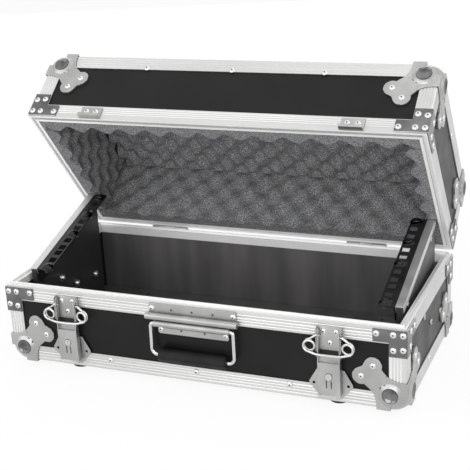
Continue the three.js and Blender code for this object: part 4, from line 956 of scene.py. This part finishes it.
plate_sheet, roll_radius, strap_half, strap_reach = 1.5, 4.4, 0.75, 5.9
face_y = -half_depth - 0.3
for word, half_plate, half_roll, roll_height, end_height, corner in (
    ("upper", 59, 62, 86, 101.5, 2.0), ("lower", 48, 51.6, bail_height, 61.5, 3.0)):
    way = math.copysign(1, end_height - roll_height)
    shape = [(-half_plate, roll_height), (half_plate, roll_height)]
    shape += [(half_plate - corner + dx, end_height - way * (corner - dz))
              for dx, dz in arc((0, 0), corner, 0, 90, 6)]
    shape += [(-x, z) for x, z in reversed(shape[2:])]
    work = slab(shape, plate_sheet, lambda x, z, t: mm(x, face_y - t, z))
    strap_low, strap_high = roll_height - strap_half, roll_height + strap_half
    strap = slab([(face_y, strap_high), (face_y, strap_low), (face_y - strap_reach, strap_low),
                  (face_y - strap_reach, strap_high)], 2 * half_plate,
                 lambda y, z, t: mm(t - half_plate, y, z))
    roll_mesh = turned([(0, -half_roll), (roll_radius, -half_roll), (roll_radius, half_roll),
                        (0, half_roll)], 36)
    roll = moved(roll_mesh, lambda a, b, c: mm(c, -half_depth - roll_out + b, roll_height + a))
    work.from_mesh(mesh_of(strap))
    work.from_mesh(roll)
    plate = put(f"handle_{word}_plate_rolled", smooth_mesh(work, "plate"), zinc, "case_base", "zinc",
                f"handle_{word}_plate")
    soften(plate, 0.00035)

upper_row, lower_row = 94.7, 67.7
plate_out, forward = face_y - plate_sheet, Vector((0, -1, 0))
rivet_spots = [(x, z) for x_out, z in ((55, upper_row), (44, lower_row)) for x in (-x_out, x_out)]
fasten("handle_rivets", [(mm(x, plate_out, z), forward) for x, z in rivet_spots],
       "case_base", "aluminium", rivet_sizes, bright, pin_black)
hole_spots = [(x, upper_row) for x in (-28, 0, 28)] + [(x, lower_row) for x in (-16, 16)]
fasten("handle_plate_holes", [(mm(x, plate_out + 0.02, z), forward) for x, z in hole_spots],
       "case_base", "black_steel", (0.0015, 0.0015, 0.00005, 0.001, 0.00005, 0.0005), pin_black, pin_black)

# ---------------------------------------------------------------------------
# Draw latches: a pressed base with ears, a channel-shaped lever on two stub pins, a key
# lock in the lever, and a spring-wire bail with side coils that hooks the keeper above.
latch_places = (("left", -177.5), ("right", 177.5))
shade_low, shade_high = 0.0602, 0.0668      # heights of a band on the base's plated face behind a lever's top, painted black: painted shade under the bracket
for hand, _ in latch_places:
    node = f"latch_base_{hand}"
    work = worked_copy(node)
    for height in (shade_low, shade_high):
        whole = work.verts[:] + work.edges[:] + work.faces[:]
        bmesh.ops.bisect_plane(work, geom=whole, plane_co=(0, 0, height), plane_no=(0, 0, 1))
    latch_base = dressed(node, zinc, "zinc", 0.00025, work)
    # The band takes the rack strips' black paint: painted shade on the plated face
    latch_base.data.materials.append(black_steel)
    for face in latch_base.data.polygons:
        if shade_low < face.center.z < shade_high and face.normal.y < -square_on:
            face.material_index = 1
    dressed(f"latch_lever_{hand}", zinc, "zinc", 0.0003)
    dressed(f"latch_lock_{hand}", chrome, "chrome", 0.0002)
    dressed(f"lid_keeper_{hand}", zinc, "zinc", 0.00025)


def latch_wire(centre):
    """The wire's path for a latch about a middle, from one pivot end to the other"""
    pivot_out, coil_pitch, steps = 5.4, 5.55, 36
    coil_x, coil_z, coil_radius = 23.8, 73.4, 6.7
    hook_out = pivot_out + coil_pitch
    side = [(11.5, pivot_out, 86), (15.6, pivot_out, 86), (17.4, pivot_out, 85.2)]
    for n in range(steps + 1):
        t = math.pi / 2 - 3 * math.pi * n / steps
        side.append((coil_x + coil_radius * math.cos(t), pivot_out + coil_pitch * n / steps,
                     coil_z + coil_radius * math.sin(t)))
    side += [(18, hook_out, 64.6), (12, hook_out, 63.5)]
    path, other = ([mm(centre + way * x, -half_depth - away, z) for x, away, z in side]
                   for way in (1, -1))
    return eased(path + other[::-1])


for hand, centre in latch_places:
    work = bmesh.new()
    add_tube(work, latch_wire(centre), 1.6 * MM, 12)
    put(f"latch_bail_{hand}_bent", smooth_mesh(work, "latch_bail"), chrome, f"wire_bail_{hand}", "chrome",
        f"latch_bail_{hand}")
sheet_y, keeper_row = -half_depth - 1.5, 115.8
latch_spots = ((-8, 90.4), (8, 90.4), (0, 76.4), (-8, 8.5), (8, 8.5))
latch_rivets = [(mm(centre + x, sheet_y, z), forward)
                for _, centre in latch_places for x, z in latch_spots]
fasten("latch_rivets", latch_rivets, "case_base", "aluminium",
       (0.0037, 0.0036, 0.0003, 0.0034, 0.0013, 0.0011), bright, pin_black)
keeper_rivets = [(lid_turn @ mm(centre + x, sheet_y, keeper_row), lid_turn.to_3x3() @ forward)
                 for _, centre in latch_places for x in (-6.7, 6.7)]
fasten("keeper_rivets", keeper_rivets, "case_lid", "aluminium", rivet_sizes, bright, pin_black)

# ---------------------------------------------------------------------------
# Hinges: two pressed leaf hinges of plated steel on the back, their pins headed over,
# with three rivets through each leaf into the rim extrusions.
for hand in ("left", "right"):
    for part in ("hinge_base_leaf", "hinge_pin", "hinge_lid_leaf"):
        dressed(f"{part}_{hand}", zinc, "zinc", 0.0003)
hinge_back, leaf_row = (half_depth + 1.8) * MM, 0.013
leaf_spots = [(centre + x) * MM for centre in (-150, 150) for x in (-19, 0, 19)]
for part, height in (("base", hinge_line.z - leaf_row), ("lid", hinge_line.z + leaf_row)):
    backward = part_place[part].to_3x3() @ Vector((0, 1, 0))
    spots = [(part_place[part] @ Vector((x, hinge_back, height)), backward) for x in leaf_spots]
    fasten(f"hinge_rivets_{part}", spots, part_body[part], "aluminium", rivet_sizes, bright, pin_black)
